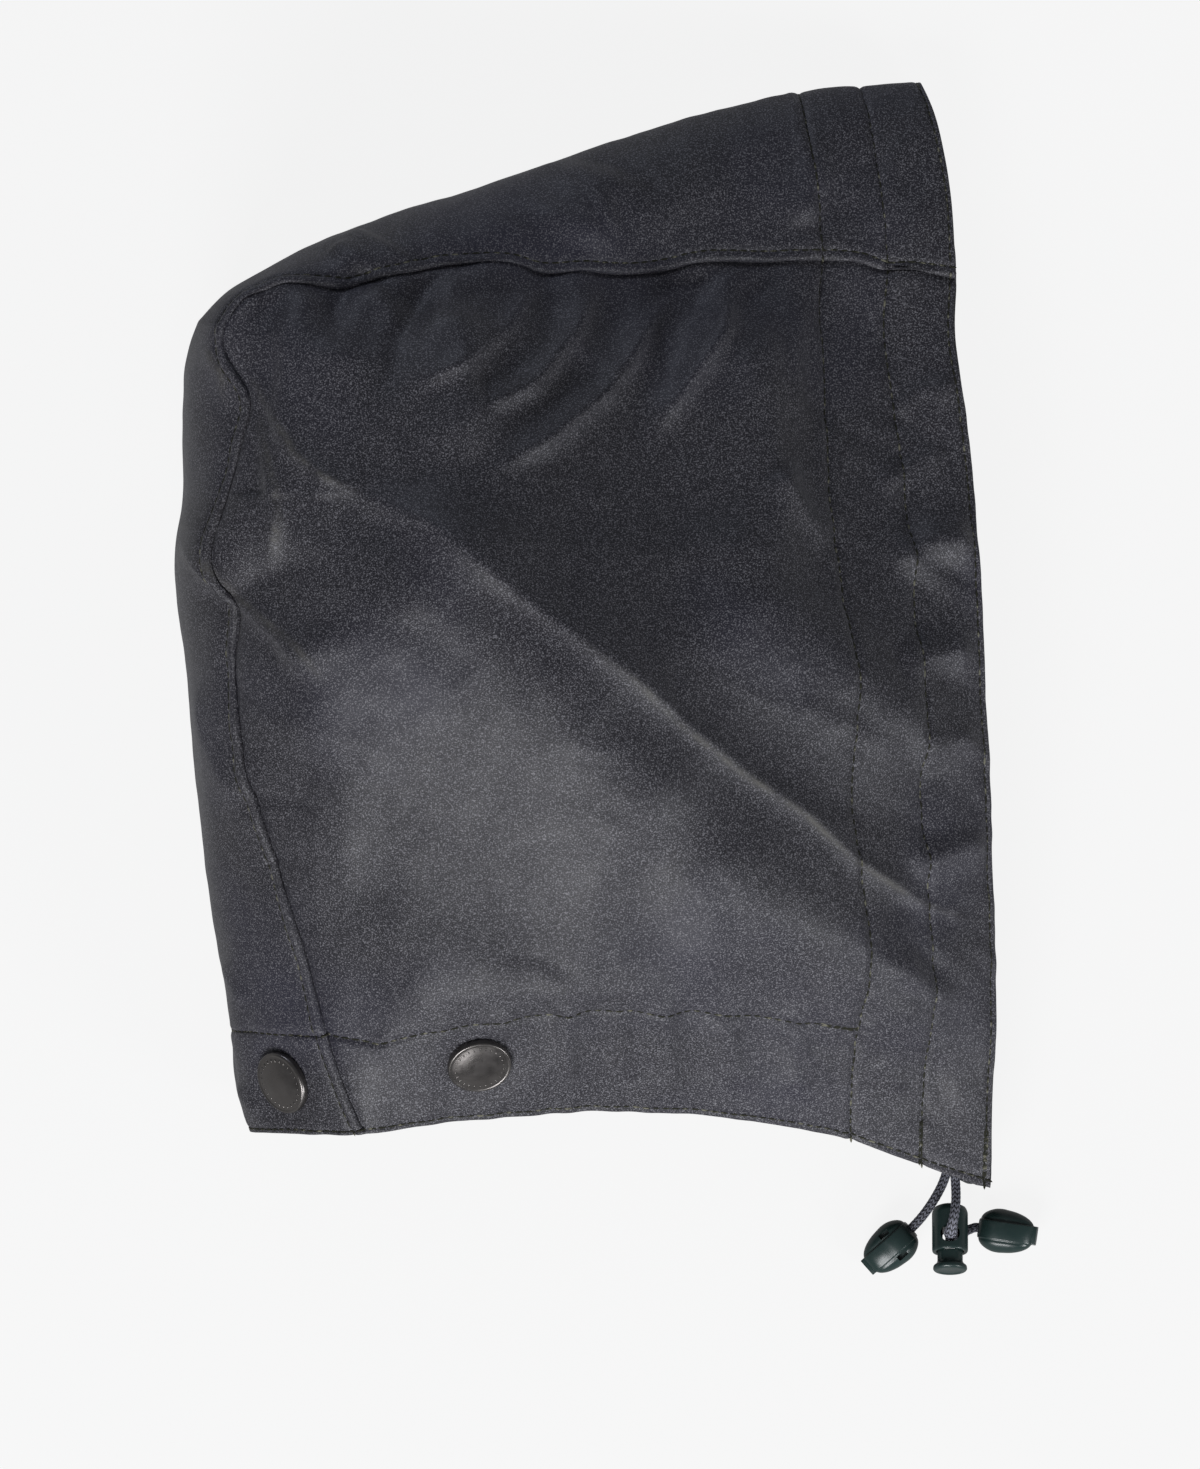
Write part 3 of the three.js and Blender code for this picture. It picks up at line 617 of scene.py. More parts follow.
def boxPiece(name, size, at, matrix):
    corners = [(x, y, z) for x in (-0.5, 0.5) for y in (-0.5, 0.5) for z in (-0.5, 0.5)]
    points = np.array(corners) * np.array(size) + np.array(at)
    faces = [(0, 1, 3, 2), (4, 6, 7, 5), (0, 4, 5, 1), (2, 3, 7, 6), (0, 2, 6, 4), (1, 5, 7, 3)]
    return newPiece(name, placed(points, matrix), faces, greenPlastic, smooth=False)


def makeLock(side, place):
    shape = lockShape
    matrix = frameFrom(place["at"], place["along"], place["up"])
    points, faces = turned(roundedProfile(shape["barrel"], shape["barrelRounding"]), shape["sides"])
    barrel = newPiece("lockBarrel" + side, placed(points, matrix), faces, greenPlastic)
    half = shape["holeHalf"]
    hole, holeFaces = turned([(0, -half), (shape["hole"], -half), (shape["hole"], half), (0, half)], 48)
    hole, holeFaces = placed(hole[:, [0, 2, 1]], matrix), [f[::-1] for f in holeFaces]
    cutOut(barrel, newPiece("cutter", hole, holeFaces, greenPlastic, smooth=False))
    points, faces = turned(roundedProfile(shape["plunger"], shape["plungerRounding"]), shape["sides"])
    plunger = newPiece("plungerButton" + side, placed(points, matrix), faces, greenPlastic)
    cutOut(plunger, boxPiece("cutter", shape["slot"], (0, 0, shape["slotMiddle"]), matrix))
    for piece in (barrel, plunger):
        piece.data.shade_smooth()
        sharpen(piece, shape["sharpAbove"])
    return barrel, plunger


barrelRight, plungerRight = makeLock("Right", lockPlaces["Right"])
barrelLeft, plungerLeft = makeLock("Left", lockPlaces["Left"])

# Bells

bellShape = {
    "length": 16.4,
    "radius": 6.4,
    "flat": 0.76,
    "outline": [
        (0, 2.2), (0.04, 3.9), (0.12, 5.2), (0.25, 6.2), (0.38, 6.5), (0.5, 6.35),
        (0.65, 6.0), (0.8, 5.25), (0.9, 4.35), (0.97, 3.3), (1, 2.4),
    ],
    "belt": {"half": 2.8, "rise": 0.45, "corner": 0.4, "past": 1.0, "tab": (2.75, 1.7)},
    "groove": {"deep": 0.55, "wide": 0.55},
    "slot": {"aside": 4.15, "at": 6.6, "wide": 1.5, "long": 3.3, "deep": 6.4},
    "rings": 72,
    "sides": 96,
}
bellPlaces = {
    "Right": {"at": (114.9, -175, 4.7), "along": (0.978, -0.145, 0.145), "up": (-0.143, 0.021, 0.989)},
    "Left": {"at": (94.9, -175.4, 6.7), "along": (-0.74, -0.655, -0.15), "up": (0.112, 0.1, -0.989)},
}


def lofted(rings):
    count, sides = len(rings), len(rings[0])
    index = np.arange(count * sides).reshape(count, sides)
    after = np.roll(index, -1, axis=1)
    faces = np.stack([index[:-1], after[:-1], after[1:], index[1:]], -1).reshape(-1, 4).tolist()
    faces += [tuple(index[0][::-1]), tuple(index[-1])]
    return np.array(rings).reshape(-1, 3), faces


def bellRadius(t):
    places, values = np.array(bellShape["outline"], float).T
    return float(smoothAt(places, values, min(t, 1)))


# The two lobes: one egg, pressed in beside the belt
def bellLobes():
    shape, groove = bellShape, bellShape["groove"]
    turn = 2 * math.pi * np.arange(shape["sides"]) / shape["sides"]
    rings = []
    for t in (1 - np.cos(np.pi * np.linspace(0, 1, shape["rings"]))) / 2:
        radius = bellRadius(t)
        x, y = radius * np.cos(turn), radius * np.sin(turn) * shape["flat"]
        beside = bump(np.abs(x) - shape["belt"]["half"] - 0.15, groove["wide"])
        squeeze = 1 - groove["deep"] * beside / max(radius, 2)
        along = np.full_like(x, t * shape["length"])
        rings.append(np.stack([x * (1 - 0.2 * (1 - squeeze)), y * squeeze, along], -1))
    return lofted(rings)


# The belt runs round the egg lengthwise and ends in a square tab at the tip
def bellBelt():
    shape, belt = bellShape, bellShape["belt"]
    rings = []
    onEgg = (1 - np.cos(np.pi * np.linspace(0, 0.93, 48))) / 2
    past = belt["past"] / shape["length"]
    stops = np.concatenate([onEgg, [1.0, 1 + 0.94 * past, 1 + past]])
    for k, t in enumerate(stops):
        radius = bellRadius(t) + belt["rise"]
        onTip = t >= 0.5
        half = min(belt["half"], (0.93 if onTip else 0.9) * radius)
        half = max(belt["tab"][0], half) if onTip else half
        thick = math.sqrt(max(radius**2 - half**2 * 0.55, 0.2)) * shape["flat"]
        if onTip:
            thick = max(thick, belt["tab"][1])
        inset = 0.35 if k in (0, len(stops) - 1) else 0
        half, thick, corner = half - inset, thick - inset, min(belt["corner"], 0.4 * thick)
        crown = 0.25 * min(1, radius / 5)
        ring = []
        for sx, sy, start in ((1, 1, 0), (-1, 1, 90), (-1, -1, 180), (1, -1, 270)):
            for angle in np.radians(start + np.linspace(0, 90, 5)):
                x = sx * (half - corner) + corner * math.cos(angle)
                ring.append((x, sy * (thick - corner) + corner * math.sin(angle)))
            if sx == sy:
                for share in np.linspace(1, -1, 9)[1:-1]:
                    ring.append((sx * (half - corner) * share, sy * (thick + crown * (1 - share**2))))
        rings.append([(x, y, t * shape["length"]) for x, y in ring])
    return lofted(rings)


def makeBell(side, place):
    matrix = frameFrom(place["at"], place["along"], place["up"])
    slot = bellShape["slot"]
    points, faces = bellLobes()
    bell = newPiece("cordBell" + side, placed(points, matrix), faces, greenPlastic)
    for aside in (-slot["aside"], slot["aside"]):
        at = (aside, -bellShape["radius"] * bellShape["flat"], slot["at"])
        cutOut(bell, boxPiece("cutter", (slot["wide"], slot["deep"], slot["long"]), at, matrix))
    points, faces = bellBelt()
    belt = newPiece("belt", placed(points, matrix), faces, greenPlastic)
    joined = bmesh.new()
    joined.from_mesh(bell.data)
    joined.from_mesh(belt.data)
    for face in joined.faces:
        face.smooth = True
    joined.to_mesh(bell.data)
    joined.free()
    bpy.data.objects.remove(belt)
    sharpen(bell, 40)
    return bell


def mergeDoubles(piece, distance):
    work = bmesh.new()
    work.from_mesh(piece.data)
    bmesh.ops.remove_doubles(work, verts=work.verts, dist=distance)
    bmesh.ops.recalc_face_normals(work, faces=work.faces)
    for face in work.faces:
        face.smooth = True
    work.to_mesh(piece.data)
    work.free()


bellRight = makeBell("Right", bellPlaces["Right"])
bellLeft = makeBell("Left", bellPlaces["Left"])

# The cut of the hood

print("stage: cloth net")
cloth = {"thick": 0.75, "facingThick": 0.75, "gap": 0.12, "facingUnder": 1.0, "lap": 8.0, "channelRoom": 3.2}
centreTop = cloth["thick"] + cloth["gap"]
seamOverCrown = [
    (-107.2, 89.9), (-102.9, 95.5), (-96.9, 100.2), (-89.1, 103.1), (-83, 102.8), (-72.6, 101.8),
    (-60.6, 103.5), (-52.9, 105.4), (-43.4, 108), (-35.6, 108.4), (-22.6, 108.2), (-14.1, 106.1),
    (1.5, 106.4), (13.8, 106.2), (22.1, 107.4), (30.3, 109.2), (37.1, 110), (55, 109.8), (68.5, 110),
    (79.9, 109), (88.1, 106.5), (96.4, 106.4), (107.6, 105.3),
]
seamDownBack = [
    (-107.2, 89.9), (-107.9, 86), (-106.8, 80.9), (-102.9, 73.9), (-100.3, 69.6), (-99.9, 65.3),
    (-101.4, 58.2), (-103.9, 45.9), (-107.6, 33.5), (-109.4, 27.6), (-109.1, 20.3), (-106.8, 15.3),
    (-102.6, 10.3), (-102.6, 4.6), (-104.1, -5.3), (-103.1, -20.2), (-101.5, -38.4), (-98.1, -49.1),
    (-92.1, -68.4), (-85, -90.9), (-77.4, -117.2), (-69.9, -138.2), (-66.2, -146.5),
]
crownHeights = {
    -107.2: 89, -102.9: 88.5, -89.1: 86, -72.6: 81, -43.4: 73, -14.1: 64, 22.1: 52, 55: 41,
    79.9: 35, 107.6: 32,
}
backHeights = {
    -146.5: 56, -105.2: 65, -68.4: 71, -38.4: 76, -8: 80, 9.3: 83, 20.3: 84, 33.5: 86,
    58.2: 89, 68: 90, 79.5: 89, 89.9: 89,
}
hemEdge = [
    (-66.2, -146.5, 56), (-46.8, -143.5, 54), (-20.3, -140.6, 49.5), (15, -139.7, 44),
    (50.3, -142.6, 37), (76.8, -148.5, 29), (97.6, -155.6, 22), (117.6, -162.6, 19),
]
faceEdge = [
    (107.6, 105.3, 32), (106.9, 87.5, 36), (109.7, 68.8, 40), (112.6, 45.3, 44), (115, 10, 46),
    (116.8, -25.3, 44), (118.8, -72.4, 37), (119.6, -100, 32), (118.2, -131.2, 25), (117.6, -162.6, 19),
]
sectionPlaces = [0.15, 0.35, 0.55, 0.75, 0.9]
sections = {
    0.1: (97, 86, 69, 50, 39),
    0.25: (104, 101, 84, 62, 49),
    0.45: (103, 107, 99, 77, 57),
    0.65: (93, 98, 93, 77, 55),
    0.8: (83, 86, 80, 62, 43),
    0.9: (72, 70, 61, 45, 31),
}

# Outermost line of the centre panel in plan, with five heights on the way round it
overCrown = [
    (96.5, 162.9, 27, 20, 11, 3.4, 2.4), (76.8, 161.2, 30, 22.5, 12.5, 4, 2.6),
    (50.3, 157.1, 37, 29, 17, 6, 3), (15, 147.4, 48, 38, 24, 9, 4), (-37.9, 129.4, 66, 54, 36, 16, 6),
    (-82.1, 113.5, 78, 66, 44, 21, 8), (-105.5, 100, 82, 68, 46, 23, 9),
    (-114.6, 91.2, 82, 68, 46, 23, 9),
]
downBack = [
    (-114.6, 91.2, 82, 68, 46, 23, 9), (-117.6, 84.4, 82, 68, 46, 23, 9),
    (-119.2, 76.8, 82, 68, 45.5, 22.5, 9), (-119.8, 66, 82, 68, 45, 22, 9),
    (-118.8, 40, 79, 64, 42, 20, 8), (-121.4, 21.8, 77, 62, 40, 19, 7),
    (-118.9, -10, 72, 57, 36, 16, 6), (-113.5, -60.6, 62, 48, 29, 12, 6),
    (-106.8, -107.6, 54, 40, 23, 11, 7), (-99.7, -145.9, 45, 31, 18, 11, 8),
]
outShares = (0.45, 0.85, 1, 0.85, 0.45)


def withHeights(points, heights, axis):
    places = sorted(heights)
    values = [heights[p] for p in places]
    return [(x, y, float(smoothAt(places, values, (x, y)[axis]))) for x, y in points]


edgeLines = {
    "crown": roundLine(withHeights(seamOverCrown, crownHeights, 0)),
    "back": roundLine(withHeights(seamDownBack, backHeights, 1)),
    "hem": roundLine(hemEdge),
    "face": roundLine(faceEdge),
}


def betweenEdges(u, v):
    u, v = np.broadcast_arrays(np.asarray(u, float), np.asarray(v, float))
    uu, vv = u[..., None], v[..., None]
    crown, hem = alongLine(edgeLines["crown"], u), alongLine(edgeLines["hem"], u)
    back, face = alongLine(edgeLines["back"], v), alongLine(edgeLines["face"], v)
    corners = [edgeLines[name][0][end] for name in ("crown", "hem") for end in (0, -1)]
    blend = crown * (1 - vv) + hem * vv + back * (1 - uu) + face * uu
    blend -= corners[0] * (1 - uu) * (1 - vv) + corners[1] * uu * (1 - vv)
    return blend - corners[2] * (1 - uu) * vv - corners[3] * uu * vv


acrossPlaces = [0, *sectionPlaces, 1]
downPlaces = [0, *sections, 1]
swellTable = [
    [0, *(np.array(heights) - betweenEdges(sectionPlaces, down)[..., 2]), 0]
    for down, heights in sections.items()
]

# Folds: points in plan, rise, reach on the left and on the right of the line, and how soft the crest is
clothFolds = [
    ([(-99.5, 76), (-91, 61), (-85.9, 52.4), (-78, 46), (-66, 40)], 2.4, 4, 2.2, 1),
    ([(-78, 46.5), (-46.8, 30.6), (-20, 9.5), (12.9, -15), (30, -29)], 4.6, 17, 4.2, 1.3),
    (
        [
            (-5, 0), (12.9, -13.5), (27.4, -27.1), (45.6, -41.5),
            (63.5, -53.2), (77.1, -65.9), (95.9, -78.2), (117, -86),
        ],
        3.0, 6, 3, 1.15,
    ),
    ([(-62, 42), (-36, 12), (-8.5, -18), (14.7, -45), (36, -78)], 10.5, 21, 32, 1.9),
    ([(22, -56), (50, -78), (78, -97), (110, -118)], 9.0, 19, 18, 1.9),
    ([(30, 22), (54, 6), (78, -14), (105.3, -38)], 8.5, 14, 24, 1.9),
    ([(46, 100), (50, 60), (54, 12)], 8.5, 10, 19, 1.8),
    ([(-40, 98), (-38, 72), (-34, 48)], 5.0, 9, 14, 1.8),
    ([(-92, 92), (-70, 78), (-52, 58)], 1.6, 9, 12, 2),
    ([(-96.5, 66), (-93.5, 50), (-91.5, 41.8), (-90.5, 33), (-93.2, 18.5)], 2.8, 1.8, 5, 1),
    ([(-112, 84), (-107.5, 77), (-104.5, 66)], 1.3, 2.5, 2.5, 1.1),
    (
        [
            (-120.3, 28.5), (-113.8, 21.2), (-108.5, 16.2), (-102.6, 10.3),
            (-93.2, 2.1), (-85, -4.4), (-77, -15),
        ],
        3.6, 9, 2.0, 1,
    ),
    ([(-82, 4), (-76, -16), (-82, -38)], 3.4, 15, 19, 1.8),
    ([(-118.8, 36.8), (-117.6, 29.4)], 1.3, 2, 3, 1),
    ([(-113.8, -12), (-112, -28.5), (-105.6, -42.4), (-98.8, -50)], 2.0, 3.5, 6, 1.3),
    ([(-108.2, -95.3), (-99.1, -108.8)], 1.6, 3, 4, 1.3),
    ([(-101.5, -131.5), (-94.7, -141.2)], 1.4, 2.5, 3, 1.3),
    ([(26, 103), (17, 88), (5, 70), (-12, 56), (-32, 45)], 5.2, 3, 5, 1.3),
    ([(4, 103), (-5, 86), (-18, 71), (-38, 61)], 4.6, 2.8, 4.6, 1.3),
    ([(-14, 104), (-24, 88), (-38, 76), (-54, 70)], 3.0, 2.6, 4.4, 1.4),
    ([(42, 101), (37, 86), (26, 70), (17, 56)], 4.8, 2.8, 4.8, 1.3),
    ([(64, 102), (59, 82), (60, 58)], 3.4, 4, 6, 1.5),
    ([(-64.5, 104), (-60.5, 95), (-54, 88)], 2.0, 3.5, 3.5, 1.5),
    ([(-74, 112), (-70, 104)], 1.6, 4, 4, 1.6),
    ([(-63.5, -34), (-64, -62), (-63, -88)], -1.3, 12, 8, 1.8),
    ([(20, -66), (34, -79), (37, -102)], 1.8, 6, 9, 1.6),
    ([(-62, -106), (-30, -102), (8, -101), (34, -102)], 4.2, 15, 8, 1.8),
    ([(-24, -106), (-29, -134)], 2.0, 4, 4, 1.6),
    ([(-6, -104), (-7, -134)], 2.6, 3, 4, 1.6),
    ([(7, -104), (11, -132)], 1.5, 3, 3.5, 1.6),
    ([(21, -102), (25, -136)], 2.6, 3.5, 4.5, 1.6),
    ([(38, -108), (46, -134)], 2.0, 3.5, 5.5, 1.6),
    ([(60, -104), (61, -138)], 2.6, 4, 6, 1.6),
    ([(50, 46), (60, 34), (70, 24)], 3.6, 6, 4, 1.5),
    ([(88, 20), (100, 26), (115, 29)], 4.5, 6, 6, 1.8),
    ([(88, -10), (100, -6), (114, -4)], 3.8, 6, 6, 1.8),
    ([(92, -36), (104, -32), (115, -31)], 2.8, 5, 5, 1.8),
    ([(92, -68), (106, -64), (118, -60)], 3.0, 5, 5, 1.8),
    ([(84, 42), (96, 50), (106, 54)], 1.9, 4, 4, 1.6),
    ([(88, 64), (98, 71), (108, 74)], 1.2, 3.2, 3.2, 1.5),
    ([(82, -92), (92, -98), (104, -110)], 1.6, 5, 4, 1.6),
    ([(98, -118), (108, -128), (112, -142)], 1.5, 4, 4.5, 1.6),
    ([(84, -122), (92, -134)], 1.4, 4, 4.5, 1.6),
    ([(60, 118), (66, 134), (64, 150)], 2.2, 5, 5, 1.8),
    ([(84, 112), (88, 130), (92, 148)], 1.0, 3.5, 3.5, 1.8),
    ([(-4, 112), (2, 124), (6, 137)], 3.6, 17, 8, 1.8),
    ([(-70, 106), (-64, 117)], 2.2, 10, 22, 1.8),
    ([(10, 118), (30, 130), (44, 132)], 1.2, 7, 6, 1.8),
]


def foldRelief(fold, x, y):
    points, rise, leftWide, rightWide, soft = fold
    points = np.array(points, float)
    travelled = lengths(points)
    best, side, place = np.full(x.shape, 1e9), np.zeros(x.shape), np.zeros(x.shape)
    for start, end, s in zip(points, points[1:], travelled):
        step = end - start
        t = np.clip(((x - start[0]) * step[0] + (y - start[1]) * step[1]) / step.dot(step), 0, 1)
        away = np.hypot(x - start[0] - t * step[0], y - start[1] - t * step[1])
        closer = away < best
        best = np.where(closer, away, best)
        side = np.where(closer, step[0] * (y - start[1]) - step[1] * (x - start[0]), side)
        place = np.where(closer, s + t * np.linalg.norm(step), place)
    total = travelled[-1]
    taper = ease(np.minimum(place, total - place) / (0.28 * total) + 0.08)
    return rise * taper * np.exp(-((best / np.where(side > 0, leftWide, rightWide)) ** soft))


# Many small soft creases, the same each run
def smallCreases(count, seed, box, size):
    rng = np.random.default_rng(seed)
    creases = []
    for _ in range(count):
        x, y = rng.uniform(box[0], box[1]), rng.uniform(box[2], box[3])
        turn, long = rng.normal(-0.8, 0.9), rng.uniform(0.4, 1) * size["long"]
        dx, dy = math.cos(turn) * long / 2, math.sin(turn) * long / 2
        bend = rng.uniform(-0.15, 0.15) * long
        points = [(x - dx, y - dy), (x - dy * bend / long, y + dx * bend / long), (x + dx, y + dy)]
        rise = rng.choice([-1, 1]) * rng.uniform(0.3, 1) * size["rise"]
        left, right = rng.uniform(0.6, 1.4) * size["wide"], rng.uniform(0.6, 1.4) * size["wide"]
        creases.append((points, rise, left, right, 1.5))
    return creases


upperCreases = smallCreases(90, 7, (-95, 110, -140, 150), {"long": 34, "rise": 0.85, "wide": 3.0})


def upperSide(u, v):
    point = betweenEdges(u, v)
    u, v = point[..., 0] * 0 + u, point[..., 0] * 0 + v
    rows = np.array([smoothAt(acrossPlaces, row, u) for row in swellTable])
    zero = np.zeros((1,) + u.shape)
    point[..., 2] += smoothAt(downPlaces, np.concatenate([zero, rows, zero]), v)
    return point


# The far side lies flat, a little further out along the hem, and rises where the neck edge turns up
farLook = {
    "inward": 2,
    "hemOut": (6, 16),
    "seamRise": 1.9,
    "seamReach": 0.06,
    "neckRise": 4.5,
    "chinFall": 2.4,
}


def lowerSide(u, v):
    look = farLook
    point = betweenEdges(u, v)
    u, v = point[..., 0] * 0 + u, point[..., 0] * 0 + v
    point[..., 0] -= look["inward"] * u
    point[..., 1] += (look["hemOut"][0] + look["hemOut"][1] * u**3) * v
    seam = look["seamRise"] * (1 - np.clip(np.minimum(u, v) / look["seamReach"], 0, 1)) ** 2
    level = look["neckRise"] - look["chinFall"] * ease((u - 0.75) / 0.25)
    point[..., 2] = seam + level * ease((v - 0.72) / 0.14)
    return point


# Where the sewn lines run, as shares of the way back from the face edge and up from the hem
channelLine = [
    (87.7, 106.9), (88.1, 75.6), (92.2, 48.6), (94.4, 24.4), (96.3, -18.7),
    (98.6, -72.1), (99.1, -94.6), (98.6, -121.6), (97.7, -154),
]
facingLine = [
    (68.5, 107), (68.8, 75.6), (69.7, 49.4), (73.2, 12.8), (75, -18.5),
    (77.4, -63.9), (78.8, -76.6), (78.1, -100.9), (77, -147.6),
]
neckLine = [
    (-77, -117.5), (-61.5, -120), (-43.8, -115.6), (-32.1, -113.5), (-8.5, -109.9), (9.4, -108.5),
    (27.4, -109.9), (45.6, -111.2), (67.9, -112.9), (81.5, -113.8), (118, -116),
]
# Distances from the face edge and the hem, in millimetres of cloth
nominal = {
    "wide": 200.0,
    "high": 255.0,
    "edgeStitch": 1.3,
    "hemStitch": 1.2,
    "channel": 20.0,
    "facing": 40.0,
    "neck": 30.0,
}


# Finds the shares (u, v) of points given in plan, by repeated steps
def placeOf(points):
    x, y = np.array(points, float).T
    u, v = np.clip((x + 105) / 215, 0, 1), np.clip((105 - y) / 250, 0, 1)
    for _ in range(25):
        here = betweenEdges(u, v)[..., :2]
        du = (betweenEdges(u + 1e-3, v)[..., :2] - here) / 1e-3
        dv = (betweenEdges(u, v + 1e-3)[..., :2] - here) / 1e-3
        ex, ey = x - here[..., 0], y - here[..., 1]
        det = du[..., 0] * dv[..., 1] - du[..., 1] * dv[..., 0]
        u = np.clip(u + 0.8 * (ex * dv[..., 1] - ey * dv[..., 0]) / det, 0, 0.999)
        v = np.clip(v + 0.8 * (du[..., 0] * ey - du[..., 1] * ex) / det, 0, 0.999)
    return u, v


def tableFrom(points, across):
    u, v = placeOf(points)
    places, values = (v, u) if across else (u, v)
    order = np.argsort(places)
    return places[order], values[order]


channelTable, facingTable = tableFrom(channelLine, True), tableFrom(facingLine, True)
neckTable = tableFrom(neckLine, False)


def stopsOver(total, keys, coarse, fine, reach):
    stops = [0.0]
    while stops[-1] < total:
        near = min(abs(stops[-1] - key) for key in keys)
        stops.append(stops[-1] + fine + (coarse - fine) * min(1, near / reach))
    stops = np.array(stops) * total / stops[-1]
    for key in keys:
        stops[nearest(stops, key)] = key
    return stops


step = {"coarse": 1.2, "fine": 0.42}
faceKeys = [0] + [nominal[key] for key in ("edgeStitch", "channel", "facing", "wide")]
hemKeys = [0] + [nominal[key] for key in ("hemStitch", "neck", "high")]
faceStops = stopsOver(nominal["wide"], faceKeys, reach=5, **step)
hemStops = stopsOver(nominal["high"], hemKeys, reach=5, **step)
columns, rows = len(faceStops) - 1, len(hemStops) - 1
fromFace, fromHem = faceStops[::-1], hemStops[::-1]


def piecewise(at, places, values):
    result = values[0] + 0 * at
    for k in range(len(places) - 1):
        t = np.clip((at - places[k]) / (places[k + 1] - places[k]), 0, 1)
        result = result + (values[k + 1] - values[k]) * t
    return result


faceGrid, hemGrid = np.meshgrid(fromFace, fromHem, indexing="ij")
uGrid, vGrid = 1 - faceGrid / nominal["wide"], 1 - hemGrid / nominal["high"]
for _ in range(3):
    uChannel, uFacing = (np.interp(vGrid, *table) for table in (channelTable, facingTable))
    vNeck = np.interp(uGrid, *neckTable)
    facePlaces = (0, nominal["channel"], nominal["facing"], nominal["wide"])
    uGrid = piecewise(faceGrid, facePlaces, (1, uChannel, uFacing, 0))
    vGrid = piecewise(hemGrid, (0, nominal["neck"], nominal["high"]), (1, vNeck, 0))

lipStops = np.array([0, 0.45, 0.9, 1.5, 2.1, 2.6, 3.1, 3.8, 4.8, 5.8, 6.9, 8.0])
innerCount = 84
across = len(lipStops) + innerCount + 2
stations = columns + rows

cornerPoints = (columns + 1) * (rows + 1)
upperNet = np.arange(cornerPoints).reshape(columns + 1, rows + 1)
lowerNet = upperNet + cornerPoints
centreNet = np.empty((stations + 1, across + 1), int)
seamOrder = [(columns - m, 0) if m <= columns else (0, m - columns) for m in range(stations + 1)]
centreNet[:, 0] = [upperNet[i, j] for i, j in seamOrder]
centreNet[:, -1] = [lowerNet[i, j] for i, j in seamOrder]
total = 2 * cornerPoints + (stations + 1) * (across - 1)
centreNet[:, 1:-1] = np.arange(2 * cornerPoints, total).reshape(stations + 1, across - 1)

# For every point: its place, and how far it lies from the face edge, the hem and the seam's lip
skin = np.zeros((total, 3))
unreached = 999.0
faceDistance, hemDistance, lipDistance = (np.full(total, unreached) for _ in range(3))
onCentre = np.zeros(total, bool)
skin[upperNet] = upperSide(uGrid, vGrid)
skin[lowerNet] = lowerSide(uGrid, vGrid)
for net in (upperNet, lowerNet):
    faceDistance[net], hemDistance[net] = faceGrid, hemGrid
    lipDistance[net] = np.minimum(nominal["wide"] - faceGrid, nominal["high"] - hemGrid)


centreBow = {"out": 3.3, "fade": 8, "heights": (1, 0.92, 0.3, 0.92, 1)}


def makeCentre():
    crownLine, backLine = (roundLine([row[:2] for row in table]) for table in (overCrown, downBack))
    for m in range(stations + 1):
        upper, lower = skin[centreNet[m, 0]], skin[centreNet[m, -1]]
        onTop = m <= columns
        share = 1 - uGrid[columns - m, 0] if onTop else vGrid[0, m - columns]
        if onTop:
            share = share * (0.88 + 0.12 * share)
        table = overCrown if onTop else downBack
        out = alongLine(crownLine if onTop else backLine, np.array(share))
        inward = upper[:2] - out
        out = out + inward / np.linalg.norm(inward) * centreTop
        bow = centreBow["out"] * math.exp(-share * centreBow["fade"]) if onTop else 0
        places = lengths(np.array([row[:2] for row in table]))
        points = [upper]
        for n in range(5):
            seam = upper if n < 2 else lower
            point = np.append(seam[:2] + (out - seam[:2]) * outShares[n], 0)
            point[0] += bow * centreBow["heights"][n]
            point[2] = smoothAt(places, [row[2 + n] for row in table], share * places[-1])
            points.append(point)
        section = np.array([*points, lower])
        t = np.linspace(0, 1, 241)
        travelled = lengths(lineAt(section, t))
        width = travelled[-1]
        inner = cloth["lap"] + (width - 2 * cloth["lap"]) * np.arange(1, innerCount) / innerCount
        stops = np.concatenate([lipStops[1:], inner, [width - cloth["lap"], width - 5, width - 2]])
        ids = centreNet[m, 1:-1]
        skin[ids] = lineAt(section, np.interp(stops, travelled, t))
        faceDistance[ids] = faceGrid[columns - m, 0] if onTop else unreached
        hemDistance[ids] = unreached if onTop else hemGrid[0, m - columns]
        lipDistance[ids] = stops
        onCentre[ids] = True


makeCentre()
innerLap, outerLap = len(lipStops) - 1, across - 3


def quadsOf(net, flip=False):
    quads = np.stack([net[:-1, :-1], net[:-1, 1:], net[1:, 1:], net[1:, :-1]], -1).reshape(-1, 4)
    return quads[:, ::-1] if flip else quads


allQuads = np.vstack([quadsOf(upperNet), quadsOf(lowerNet, True), quadsOf(centreNet)])


def normalsOf(points):
    a, b, c, d = (points[allQuads[:, n]] for n in range(4))
    across = np.cross(c - a, d - b)
    normals = np.zeros_like(points)
    for n in range(4):
        np.add.at(normals, allQuads[:, n], across)
    return normals / np.maximum(np.linalg.norm(normals, axis=1)[:, None], 1e-12)


# Relief of the sewn lines, of the hems and of the puckers beside them, along the cloth's own normal
sewing = {"depth": 0.7, "wide": 0.95, "pucker": 0.62, "puckerReach": 6.0}
seamPuckers = {"centre": 0.6, "side": 1.2, "reach": 11}
gathering = {"rise": 3.0, "pitch": 9, "reach": 22, "above": 40}
facingShows = {"neck": 1.1, "soft": 11, "front": 0.28, "past": 2.3}
swells = {62: 0.4, 25: 0.2, 9: 0.07}


